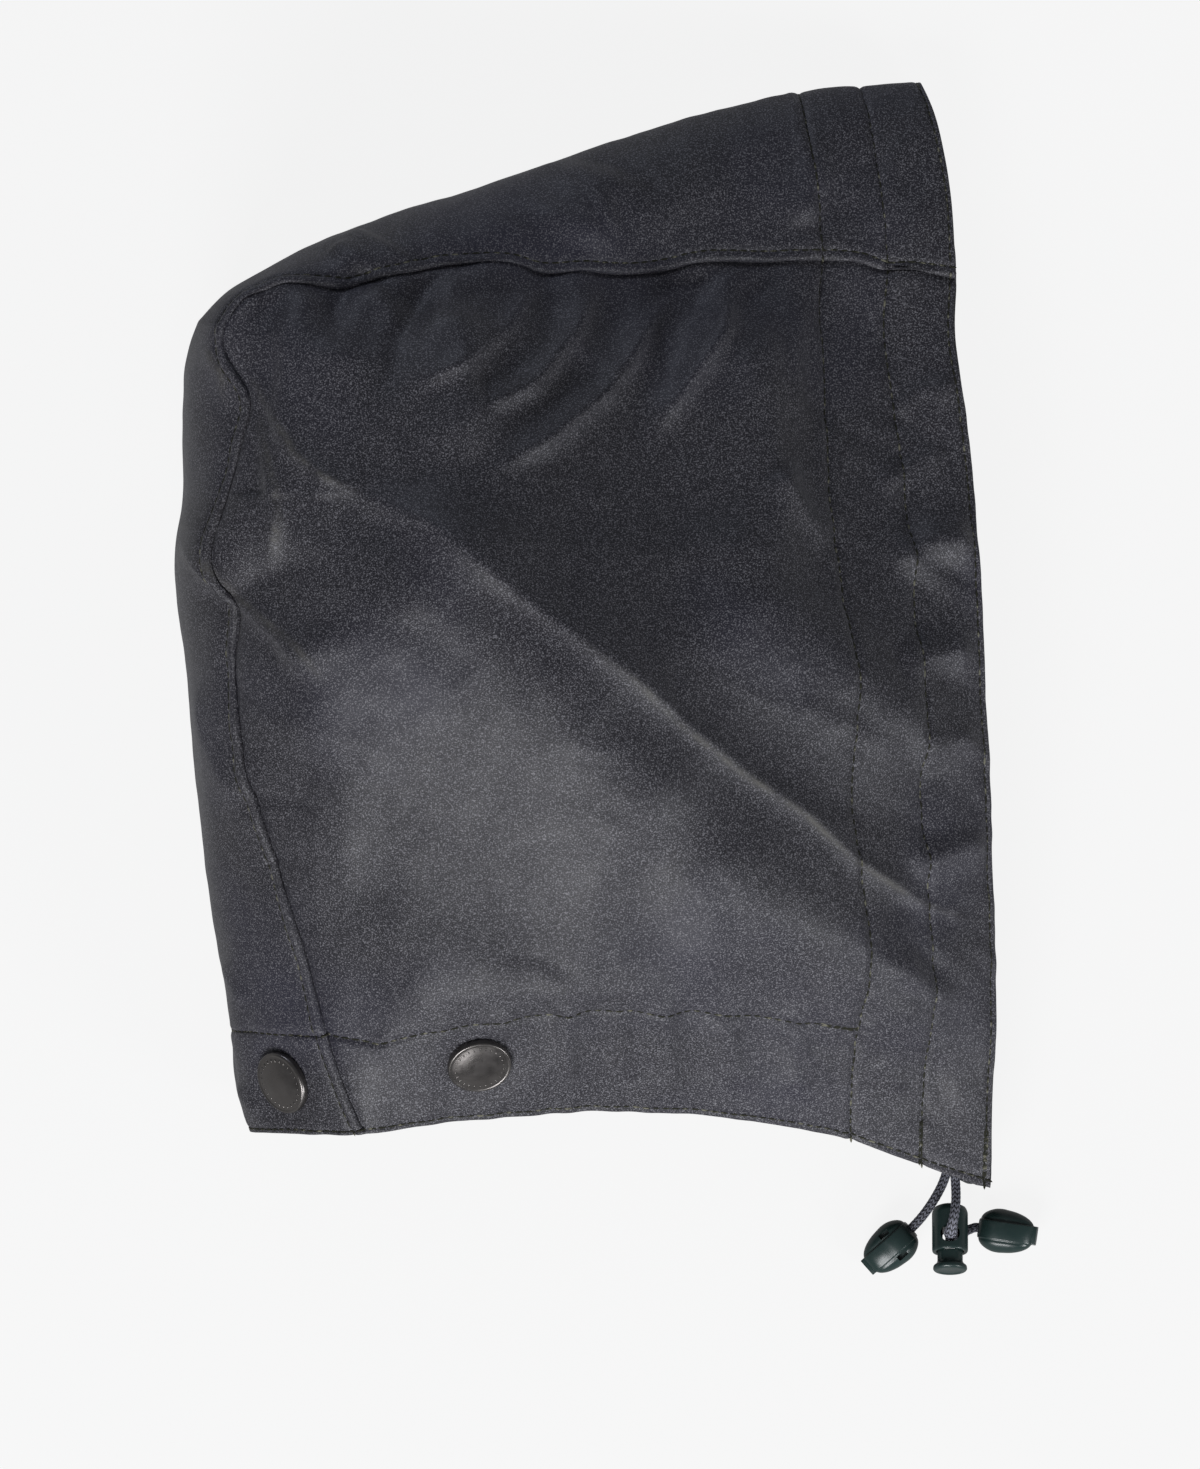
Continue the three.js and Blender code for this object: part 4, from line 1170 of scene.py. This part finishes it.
def sewnRelief():
    x, y = skin[:, 0], skin[:, 1]
    facesUp = ease((normals[:, 2] - 0.05) / 0.3)
    edge, channel, facing, neck = (nominal[key] for key in ("edgeStitch", "channel", "facing", "neck"))
    lengthwise = np.where(onCentre, lipDistance, 300 - y)
    relief = np.zeros(total)
    for key, deep in (("edgeStitch", 0.7), ("channel", 1), ("facing", 0.9)):
        away = faceDistance - nominal[key]
        relief -= deep * sewing["depth"] * bump(away, sewing["wide"])
        pucker = wave(lengthwise + 0.6 * away, 5.5, len(key)) + 0.6 * wave(lengthwise, 13, len(key) + 9)
        relief += deep * sewing["pucker"] * pucker * np.exp(-np.abs(away) / sewing["puckerReach"])
    crosswise = np.where(onCentre, lipDistance, x)
    onNeck = (faceDistance > 36) | onCentre
    for key, deep, where in (("hemStitch", 0.7, 1), ("neck", 1, onNeck)):
        away = hemDistance - nominal[key]
        relief -= deep * sewing["depth"] * bump(away, sewing["wide"]) * where
        pucker = wave(crosswise + 0.4 * away, 6, len(key) + 20) + 0.8 * wave(crosswise, 17, len(key) + 29)
        relief += deep * sewing["pucker"] * pucker * np.exp(-np.abs(away) / sewing["puckerReach"]) * where

    # Puckers beside the seam, and gathers that fan out from it on the crown
    run = np.where(faceDistance < 900, faceDistance, nominal["wide"] + hemDistance)
    seamPucker = wave(run, 8, 51) + 0.9 * wave(run, 17, 52)
    rise = np.where(onCentre, seamPuckers["centre"], seamPuckers["side"])
    relief += rise * seamPucker * np.exp(-lipDistance / seamPuckers["reach"])
    gathered = (faceDistance > facing) & ~onCentre & (y > gathering["above"])
    gathers = wave(x + 0.45 * lipDistance, gathering["pitch"], 53) * np.exp(-lipDistance / gathering["reach"])
    relief += gathering["rise"] * gathers * ease((lipDistance - 1) / 6) * gathered

    # The facings below lift the cloth, and the channel and the front band puff up between their lines
    past = np.where(hemDistance > neck, bump(hemDistance - neck, facingShows["soft"]), 1)
    relief += facingShows["neck"] * past * facesUp
    relief -= np.where(onCentre, 0.5 * bump(lipDistance - 2.6, 0.8), 0.8 * bump(lipDistance, 1.6))
    channelPuff = np.sin(np.pi * np.clip((faceDistance - edge) / (channel - edge), 0, 1))
    bulges = 0.5 + 0.5 * wave(lengthwise, 15, 70) + 0.3 * wave(lengthwise + 0.3 * faceDistance, 6, 72)
    relief += channelPuff * bulges
    facingPuff = np.sin(np.pi * np.clip((faceDistance - channel) / (facing - channel), 0, 1))
    relief += facingPuff * (0.15 + 0.5 * wave(lengthwise, 21, 71))
    relief += facingShows["front"] * bump(faceDistance - facing - facingShows["past"], 1.1)

    for seed, (pitch, rise) in enumerate(swells.items(), 80):
        relief += rise * swellOver(x, y, pitch, seed)
    for fold in clothFolds + upperCreases:
        relief += facesUp * foldRelief(fold, x, y)
    return relief


normals = normalsOf(skin)
skin = skin + normals * sewnRelief()[:, None]

def nodePoints(node):
    mesh = frame["nodes"][node].data
    points = np.empty(len(mesh.vertices) * 3)
    mesh.vertices.foreach_get("co", points)
    return points.reshape(-1, 3) * 1000 - layoutShift


# A stud's axis comes from its mount, and its place from the end of its post and the height of its solid cap
solidCap = {"height": 3.3, "clear": 0.02}
mountAxes = {mount["name"]: -np.array(mount["axis"], float) for mount in frame["record"]["mounts"]}


def studPlace(name):
    out = mountAxes["snap_" + name] / np.linalg.norm(mountAxes["snap_" + name])
    points = nodePoints("stud_cap_" + name)
    heights = points @ out
    postEnd = np.unique(points[heights < heights.min() + 0.01].round(3), axis=0).mean(axis=0)
    at = postEnd + out * (np.ptp(heights) - solidCap["height"])
    return {"at": at, "out": out, "stack": solidCap["clear"] + (centreTop if "centre" in name else 0)}


studPlaces = {name: studPlace(name) for name in ("side_right", "side_left", "centre_right", "centre_left")}


# The cloth is clamped flat under each press stud
def flattenUnderStuds():
    for place in studPlaces.values():
        out = place["out"]
        away = skin - place["at"]
        height = away @ out
        aside = np.linalg.norm(away - height[:, None] * out, axis=1)
        near = (np.abs(height) < 14) & (aside < 22) & (normals @ out > 0.3)
        pull = (1 - ease((aside - 9) / 10)) * near
        skin[:] = skin + (pull * (-place["stack"] - height))[:, None] * out


flattenUnderStuds()
skin[:, 2] = np.where(skin[:, 2] < 40, np.maximum(skin[:, 2], 0), skin[:, 2])
normals = normalsOf(skin)

pastLap = np.zeros(total, bool)
pastLap[centreNet[:, innerLap + 1 : outerLap]] = True
channelArch = ((0, 4, 8, 12, 16, 20), (0, 0.55, 1, 1, 0.55, 0))
bulge = cloth["channelRoom"] * np.interp(faceDistance, *channelArch)
facingTop = np.where(pastLap, 0, -cloth["facingUnder"]) - bulge

# Cloth pieces

print("stage: cloth pieces, net", columns, rows, across)


# Wax rubs off along the edges; the lighter colour along the sharp crests of upward-facing folds is partly wax
# rubbed off and partly a painted highlight
wearAndHighlightLook = {"edge": 0.1, "edgeReach": 0.9, "inside": 0.3, "rim": 0.12, "crease": 0.9, "sharpBelow": 1.2}


# Painted highlight, partly real wax wear: the lighter worn colour laid along the crests of the sharp folds
# where they face up
def creaseWearAndHighlight(place, normal):
    wornAndHighlight = np.zeros(len(place))
    for points, rise, _, _, soft in clothFolds:
        if soft > wearAndHighlightLook["sharpBelow"] or rise < 0:
            continue
        line = (points, 1, wearAndHighlightLook["crease"], wearAndHighlightLook["crease"], 1.5)
        wornAndHighlight = np.maximum(wornAndHighlight, foldRelief(line, place[:, 0], place[:, 1]) * (normal[:, 2] > 0.1))
    return wornAndHighlight


def clothPiece(name, quads, top, thick):
    used, local = np.unique(quads, return_inverse=True)
    local = local.reshape(quads.shape)
    count = len(used)
    place, normal, depth = skin[used], normals[used], (top[used] if np.ndim(top) else np.full(count, top))
    starts, ends = local.ravel(), np.roll(local, -1, axis=1).ravel()
    keys, back = starts * count + ends, ends * count + starts
    free = ~np.isin(keys, back)
    edgeStart, edgeEnd = starts[free], ends[free]
    outward = np.zeros((count, 3))
    direction = np.cross(place[edgeEnd] - place[edgeStart], normal[edgeStart])
    direction /= np.maximum(np.linalg.norm(direction, axis=1)[:, None], 1e-9)
    np.add.at(outward, edgeStart, direction)
    np.add.at(outward, edgeEnd, direction)
    border = np.unique(np.concatenate([edgeStart, edgeEnd]))
    outward[border] /= np.maximum(np.linalg.norm(outward[border], axis=1)[:, None], 1e-9)
    onBorder = np.zeros(count)
    onBorder[border] = 1
    outer = place + normal * (depth - 0.24 * thick * onBorder)[:, None]
    inner = place + normal * (depth - thick + 0.24 * thick * onBorder)[:, None]
    rim = place[border] + normal[border] * (depth[border] - thick / 2)[:, None]
    rim += outward[border] * 0.3 * thick
    rimIndex = np.full(count, -1)
    rimIndex[border] = 2 * count + np.arange(len(border))
    faces = np.vstack([local, local[:, ::-1] + count])
    upper = np.stack([edgeEnd, edgeStart, rimIndex[edgeStart], rimIndex[edgeEnd]], -1)
    lower = np.stack([rimIndex[edgeEnd], rimIndex[edgeStart], edgeStart + count, edgeEnd + count], -1)
    faces = np.vstack([faces, upper, lower])
    points = np.vstack([outer, inner, rim])
    points[:, 2] = np.maximum(points[:, 2], 0.02)
    edge = np.minimum(faceDistance[used], hemDistance[used])
    edge = np.minimum(edge, np.where(onCentre[used] | (name == "centrePanel"), lipDistance[used], 99))
    wearAndHighlight = wearAndHighlightLook["edge"] * np.exp(-np.maximum(edge, 0) / wearAndHighlightLook["edgeReach"])
    wearAndHighlight = np.maximum(wearAndHighlight, creaseWearAndHighlight(place, normal))
    wearAndHighlight = np.concatenate([wearAndHighlight, wearAndHighlight * wearAndHighlightLook["inside"], np.full(len(border), wearAndHighlightLook["rim"])])
    return newPiece(name, toFrame(points), faces, waxedCotton, masks={"wearAndHighlight": wearAndHighlight})


def thinned(indices, stepBy):
    kept = list(indices[::stepBy])
    return np.array(kept if kept[-1] == indices[-1] else kept + [indices[-1]])


# The pieces that hardly show take every second line of the net
few = 2
facingColumn, channelColumn, edgeColumn = (
    nearest(fromFace, nominal[key]) for key in ("facing", "channel", "edgeStitch")
)
neckEndColumn = nearest(fromFace, 41.5)
neckRow, hemRow = nearest(fromHem, nominal["neck"]), nearest(fromHem, nominal["hemStitch"])
fewRows, fewColumns = thinned(np.arange(rows + 1), few), thinned(np.arange(columns + 1), few)
fewStations = np.unique(np.concatenate([columns - fewColumns, columns + fewRows]))
fewAcross = thinned(np.arange(across + 1), few)

rightQuads = np.vstack([quadsOf(upperNet), quadsOf(centreNet[:, : innerLap + 1])])
leftQuads = np.vstack(
    [
        quadsOf(lowerNet[np.ix_(fewColumns, fewRows)], True),
        quadsOf(centreNet[np.ix_(fewStations, np.arange(outerLap, across + 1))]),
    ]
)
sidePanelRight = clothPiece("sidePanelRight", rightQuads, 0.0, cloth["thick"])
sidePanelLeft = clothPiece("sidePanelLeft", leftQuads, 0.0, cloth["thick"])
centrePanel = clothPiece("centrePanel", quadsOf(centreNet), centreTop, cloth["thick"])

faceColumns = thinned(np.arange(facingColumn, columns + 1), few)
faceStations = np.sort(columns - faceColumns)
frontQuads = np.vstack(
    [
        quadsOf(upperNet[np.ix_(faceColumns, fewRows)]),
        quadsOf(lowerNet[np.ix_(faceColumns, fewRows)], True),
        quadsOf(centreNet[np.ix_(faceStations, fewAcross)]),
    ]
)
frontFacing = clothPiece("frontFacing", frontQuads, facingTop, cloth["facingThick"])

neckColumns = thinned(np.arange(0, neckEndColumn + 1), few)
neckRows = thinned(np.arange(neckRow, rows + 1), few)
neckQuads = np.vstack(
    [
        quadsOf(upperNet[np.ix_(neckColumns, neckRows)]),
        quadsOf(lowerNet[np.ix_(neckColumns, neckRows)], True),
        quadsOf(centreNet[np.ix_(columns + neckRows, fewAcross)]),
    ]
)
neckFacing = clothPiece("neckFacing", neckQuads, facingTop, cloth["facingThick"])

# The cord inside the channel ends short of both mouths, where the free ends begin
runMouths = {"upperY": -157.5, "lowerY": -138, "lowZ": 12, "lowerZ": 14}
cordColumn = nearest(fromFace, 10)
cordStation = columns - cordColumn
clothAbove = np.where(pastLap, cloth["gap"], -cloth["thick"])
overTop, underneath = upperNet[cordColumn, ::-1][::3], lowerNet[cordColumn, ::3]
cordIds = np.concatenate([overTop, centreNet[cordStation, 2:-2:3], underneath])
cordCentres = skin[cordIds] + normals[cordIds] * ((clothAbove[cordIds] + facingTop[cordIds]) / 2)[:, None]
keep = (cordCentres[:, 1] > runMouths["upperY"]) | (skin[cordIds, 2] < runMouths["lowZ"])
keep &= ~((skin[cordIds, 2] < runMouths["lowerZ"]) & (cordCentres[:, 1] < runMouths["lowerY"]))
runCentres = alongLine(roundLine(cordCentres[keep]), np.linspace(0, 1, 420))
points, faces = sweptAlong(runCentres, np.full((len(runCentres), 12), cordLook["diameter"] / 2), 12)
braidMask = {"braid": np.full(len(points), 0.5)}
drawcordRun = newPiece("drawcordRun", toFrame(points), faces, braidedCord, masks=braidMask)

# Stitches

print("stage: stitches")
stitchLook = {"long": 2.9, "wide": 0.8, "high": 0.6, "pitch": 3.1, "edgePitch": 2.9, "sink": 0.02, "seed": 11}
backtackLook = {"long": 2.3, "pitch": 1.9}


# One tree lays small thread ovals along the path it is given, turned to the path and to the cloth
def stitchTree():
    tree = bpy.data.node_groups.new("stitchRow", "GeometryNodeTree")
    face = tree.interface
    face.new_socket("Path", in_out="INPUT", socket_type="NodeSocketGeometry")
    for name in ("Pitch", "Long", "Wide", "High"):
        face.new_socket(name, in_out="INPUT", socket_type="NodeSocketFloat")
    face.new_socket("Seed", in_out="INPUT", socket_type="NodeSocketInt")
    face.new_socket("Thread", in_out="INPUT", socket_type="NodeSocketMaterial")
    face.new_socket("Stitches", in_out="OUTPUT", socket_type="NodeSocketGeometry")
    start, end = tree.nodes.new("NodeGroupInput"), tree.nodes.new("NodeGroupOutput")
    curve = newNode(tree, "GeometryNodeMeshToCurve")
    even = newNode(tree, "GeometryNodeResampleCurve", mode="LENGTH")
    oval = newNode(tree, "GeometryNodeMeshUVSphere", {"Segments": 6, "Rings": 4, "Radius": 0.5})
    up = newNode(tree, "GeometryNodeInputNamedAttribute", {"Name": "up"}, data_type="FLOAT_VECTOR")
    lean = newNode(tree, "FunctionNodeAlignRotationToVector", axis="Z")
    turn = newNode(tree, "FunctionNodeAlignRotationToVector", axis="X", pivot_axis="Z")
    tangent = newNode(tree, "GeometryNodeInputTangent")
    jitter = newNode(tree, "FunctionNodeRandomValue", {2: 0.82, 3: 1.12}, data_type="FLOAT")
    longer = newNode(tree, "ShaderNodeMath", operation="MULTIPLY")
    size = newNode(tree, "ShaderNodeCombineXYZ")
    place = newNode(tree, "GeometryNodeInstanceOnPoints")
    real = newNode(tree, "GeometryNodeRealizeInstances")
    paint = newNode(tree, "GeometryNodeSetMaterial")
    for source, output, target, socket in (
        (start, "Path", curve, "Mesh"),
        (curve, "Curve", even, "Curve"),
        (start, "Pitch", even, "Length"),
        (up, "Attribute", lean, "Vector"),
        (lean, "Rotation", turn, "Rotation"),
        (tangent, "Tangent", turn, "Vector"),
        (start, "Seed", jitter, "Seed"),
        (start, "Long", longer, 0),
        (jitter, 1, longer, 1),
        (longer, 0, size, "X"),
        (start, "Wide", size, "Y"),
        (start, "High", size, "Z"),
        (even, "Curve", place, "Points"),
        (oval, "Mesh", place, "Instance"),
        (turn, "Rotation", place, "Rotation"),
        (size, "Vector", place, "Scale"),
        (place, "Instances", real, "Geometry"),
        (real, "Geometry", paint, "Geometry"),
        (start, "Thread", paint, "Material"),
        (paint, "Geometry", end, "Stitches"),
    ):
        tree.links.new(source.outputs[output], target.inputs[socket])
    return tree


stitchRow = stitchTree()


def stitchesAlong(name, paths, **changes):
    look = {**stitchLook, **changes}
    points, edges, ups = [], [], []
    for path, up in paths:
        first = len(points)
        points += list(path)
        ups += list(up)
        edges += [(n, n + 1) for n in range(first, len(points) - 1)]
    mesh = bpy.data.meshes.new(name + "Path")
    mesh.from_pydata([tuple(p) for p in toFrame(points)], edges, [])
    upward = mesh.attributes.new("up", "FLOAT_VECTOR", "POINT")
    upward.data.foreach_set("vector", np.array(ups, np.float32).ravel())
    piece = bpy.data.objects.new(name, mesh)
    scene.collection.objects.link(piece)
    modifier = piece.modifiers.new("stitches", "NODES")
    modifier.node_group = stitchRow
    sizes = {name.title(): look[name] for name in ("pitch", "long", "wide", "high")}
    for item in stitchRow.interface.items_tree:
        if item.name in sizes and item.in_out == "INPUT":
            modifier[item.identifier] = sizes[item.name] / 1000
        elif item.name == "Seed":
            modifier[item.identifier] = look["seed"]
        elif item.name == "Thread":
            modifier[item.identifier] = thread
    applyModifiers(piece)
    piece.data.name = name
    if not piece.data.materials:
        piece.data.materials.append(thread)
    return piece


def onCloth(ids, top):
    points = skin[ids] + normals[ids] * (top - stitchLook["sink"])
    points[:, 2] = np.maximum(points[:, 2], 0.6)
    return points, normals[ids]


lipRow = nearest(lipStops, 2.6)
lowerLip = across - 1


def linesRound(column):
    return [
        onCloth(upperNet[column, 1:], 0.0),
        onCloth(centreNet[columns - column, 1:-1], centreTop),
        onCloth(lowerNet[column, 1:], 0.0),
    ]


def linesAcross(row, firstColumn):
    return [
        onCloth(upperNet[1:firstColumn, row], 0.0),
        onCloth(centreNet[columns + row, 1:-1], centreTop),
        onCloth(lowerNet[1:firstColumn, row], 0.0),
    ]


# Backtacks: short close stitches side by side over the last stretch of a line
def backtack(name, ids, span, aside):
    beside = []
    for offset in aside:
        path, up = onCloth(ids, 0.0)
        run = lengths(path)
        kept = run > run[-1] - span
        sideways = np.cross(up[kept], np.gradient(path[kept], axis=0))
        sideways /= np.linalg.norm(sideways, axis=1)[:, None]
        beside.append((path[kept] + sideways * offset, up[kept]))
    return stitchesAlong(name, beside, **backtackLook)


stitches = [
    backtack("backtackChannel", upperNet[channelColumn, 1:-1], 13, (-0.75, -0.1, 0.6)),
    backtack("backtackFaceEdge", upperNet[edgeColumn, 1:-2], 16, (-0.4, 0.5)),
    backtack("backtackNeck", upperNet[2:facingColumn, neckRow], 12, (-0.5, 0.5)),
    stitchesAlong("stitchesFaceEdge", linesRound(edgeColumn), pitch=stitchLook["edgePitch"]),
    stitchesAlong("stitchesChannel", linesRound(channelColumn)),
    stitchesAlong("stitchesFacing", linesRound(facingColumn)),
    stitchesAlong("stitchesHem", linesAcross(hemRow, columns + 1), pitch=stitchLook["edgePitch"]),
    stitchesAlong("stitchesNeck", linesAcross(neckRow, facingColumn)),
    stitchesAlong("stitchesSeam", [onCloth(centreNet[1:-1, lipRow], centreTop)]),
    stitchesAlong("stitchesSeamFar", [onCloth(centreNet[1:-1, lowerLip], centreTop)]),
]

# Press studs

print("stage: press studs")
studShape = {
    "cap": [
        (9.3, 0.0), (9.5, 0.25), (9.5, 1.5), (9.35, 2.0), (9.05, 2.3), (8.7, 2.32), (8.35, 2.2),
        (7.4, 2.36), (6, 2.62), (4.5, 2.84), (3, 2.98), (1.5, 3.04), (0, 3.05),
    ],
    "post": 1.4,
    "socket": [
        (1.8, 0), (1.8, -0.9), (3.1, -0.9), (3.1, -3.2), (5.6, -3.2),
        (6.2, -1), (6.9, -0.8), (6.9, 0), (1.8, 0),
    ],
    "sides": 96,
    "socketSides": 64,
    "sharpAbove": 45,
}
pipLook = {"count": 26, "ring": 7.2, "height": 2.36, "size": (0.62, 0.2, 0.2)}


def flatOval(at, size, turn, sides=8):
    rings = [(1, 0), (0.85, 0.6), (0.45, 0.95)]
    points, faces = [], []
    for share, height in rings:
        for n in range(sides):
            a = 2 * math.pi * n / sides
            x, y = share * size[0] * math.cos(a), share * size[1] * math.sin(a)
            across = at[0] + x * math.cos(turn) - y * math.sin(turn)
            along = at[1] + x * math.sin(turn) + y * math.cos(turn)
            points.append((across, along, at[2] + height * size[2]))
    points.append((*at[:2], at[2] + size[2]))
    top = (len(rings) - 1) * sides
    for first in range(0, top, sides):
        for n in range(sides):
            m = (n + 1) % sides
            faces.append((first + n, first + m, first + sides + m, first + sides + n))
    faces += [(top + n, top + (n + 1) % sides, len(points) - 1) for n in range(sides)]
    faces.append(tuple(range(sides))[::-1])
    return points, faces


def capWithPips(end):
    profile = [(0, end), (studShape["post"], end), (studShape["post"], 0.0), *studShape["cap"]]
    points, faces = turned(roundedProfile(profile, 0.35, 3), studShape["sides"])
    points = [tuple(p) for p in points]
    for n in range(pipLook["count"]):
        turn = 2 * math.pi * (n + 0.5) / pipLook["count"]
        at = (pipLook["ring"] * math.cos(turn), pipLook["ring"] * math.sin(turn), pipLook["height"])
        pip, pipFaces = flatOval(at, pipLook["size"], turn)
        faces += [tuple(i + len(points) for i in f) for f in pipFaces]
        points += pip
    return points, faces


def makeStud(name, place):
    at, out = place["at"], place["out"]
    ending = name.title().replace("_", "")
    side = (1, 0, 0) if abs(out[0]) < 0.9 else (0, 1, 0)
    matrix = frameFrom(at, out, np.cross(out, side))
    end = float(((nodePoints("stud_cap_" + name) - at) @ out).min())
    points, faces = capWithPips(end)
    cap = newPiece("studCap" + ending, placed(points, matrix), faces, gunmetal)
    sharpen(cap, studShape["sharpAbove"])
    top = float(((nodePoints("stud_socket_" + name) - at) @ out).max())
    points, faces = turned(roundedProfile(studShape["socket"], 0.25, 3), studShape["socketSides"])
    points = placed(points + np.array([0, 0, top]), matrix)
    socket = newPiece("studSocket" + ending, points, [f[::-1] for f in faces], gunmetal)
    mergeDoubles(socket, 1e-7)
    sharpen(socket, studShape["sharpAbove"])
    return cap, socket


studs = {name: makeStud(name, place) for name, place in studPlaces.items()}

# What rides on what, and what each piece stands for

def dress(piece, body, slot, *nodes):
    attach(piece, body)
    if nodes:
        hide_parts(*nodes)


for piece, node in (
    (sidePanelRight, "side_panel_right"),
    (sidePanelLeft, "side_panel_left"),
    (centrePanel, "centre_panel"),
    (frontFacing, "front_facing"),
    (neckFacing, "neck_facing"),
):
    dress(piece, "hood", "waxed_cotton", node)
dress(drawcordRun, "hood", "braided_cord", "drawcord_run")
for name, (cap, socket) in studs.items():
    dress(cap, "hood", "gunmetal", "stud_cap_" + name)
    dress(socket, "hood", "gunmetal", "stud_socket_" + name)
for row in stitches:
    dress(row, "hood", "waxed_cotton")
dress(cordRight, "hood", "braided_cord", "cord_end_right")
dress(cordLeft, "hood", "braided_cord", "cord_end_left")
dress(barrelRight, "hood", "green_plastic", "cord_lock_right")
dress(barrelLeft, "hood", "green_plastic", "cord_lock_left")
dress(plungerRight, "plunger_right", "green_plastic", "plunger_right")
dress(plungerLeft, "plunger_left", "green_plastic", "plunger_left")
dress(bellRight, "hood", "green_plastic", "cord_bell_right")
dress(bellLeft, "hood", "green_plastic", "cord_bell_left")


print("stage: finish")
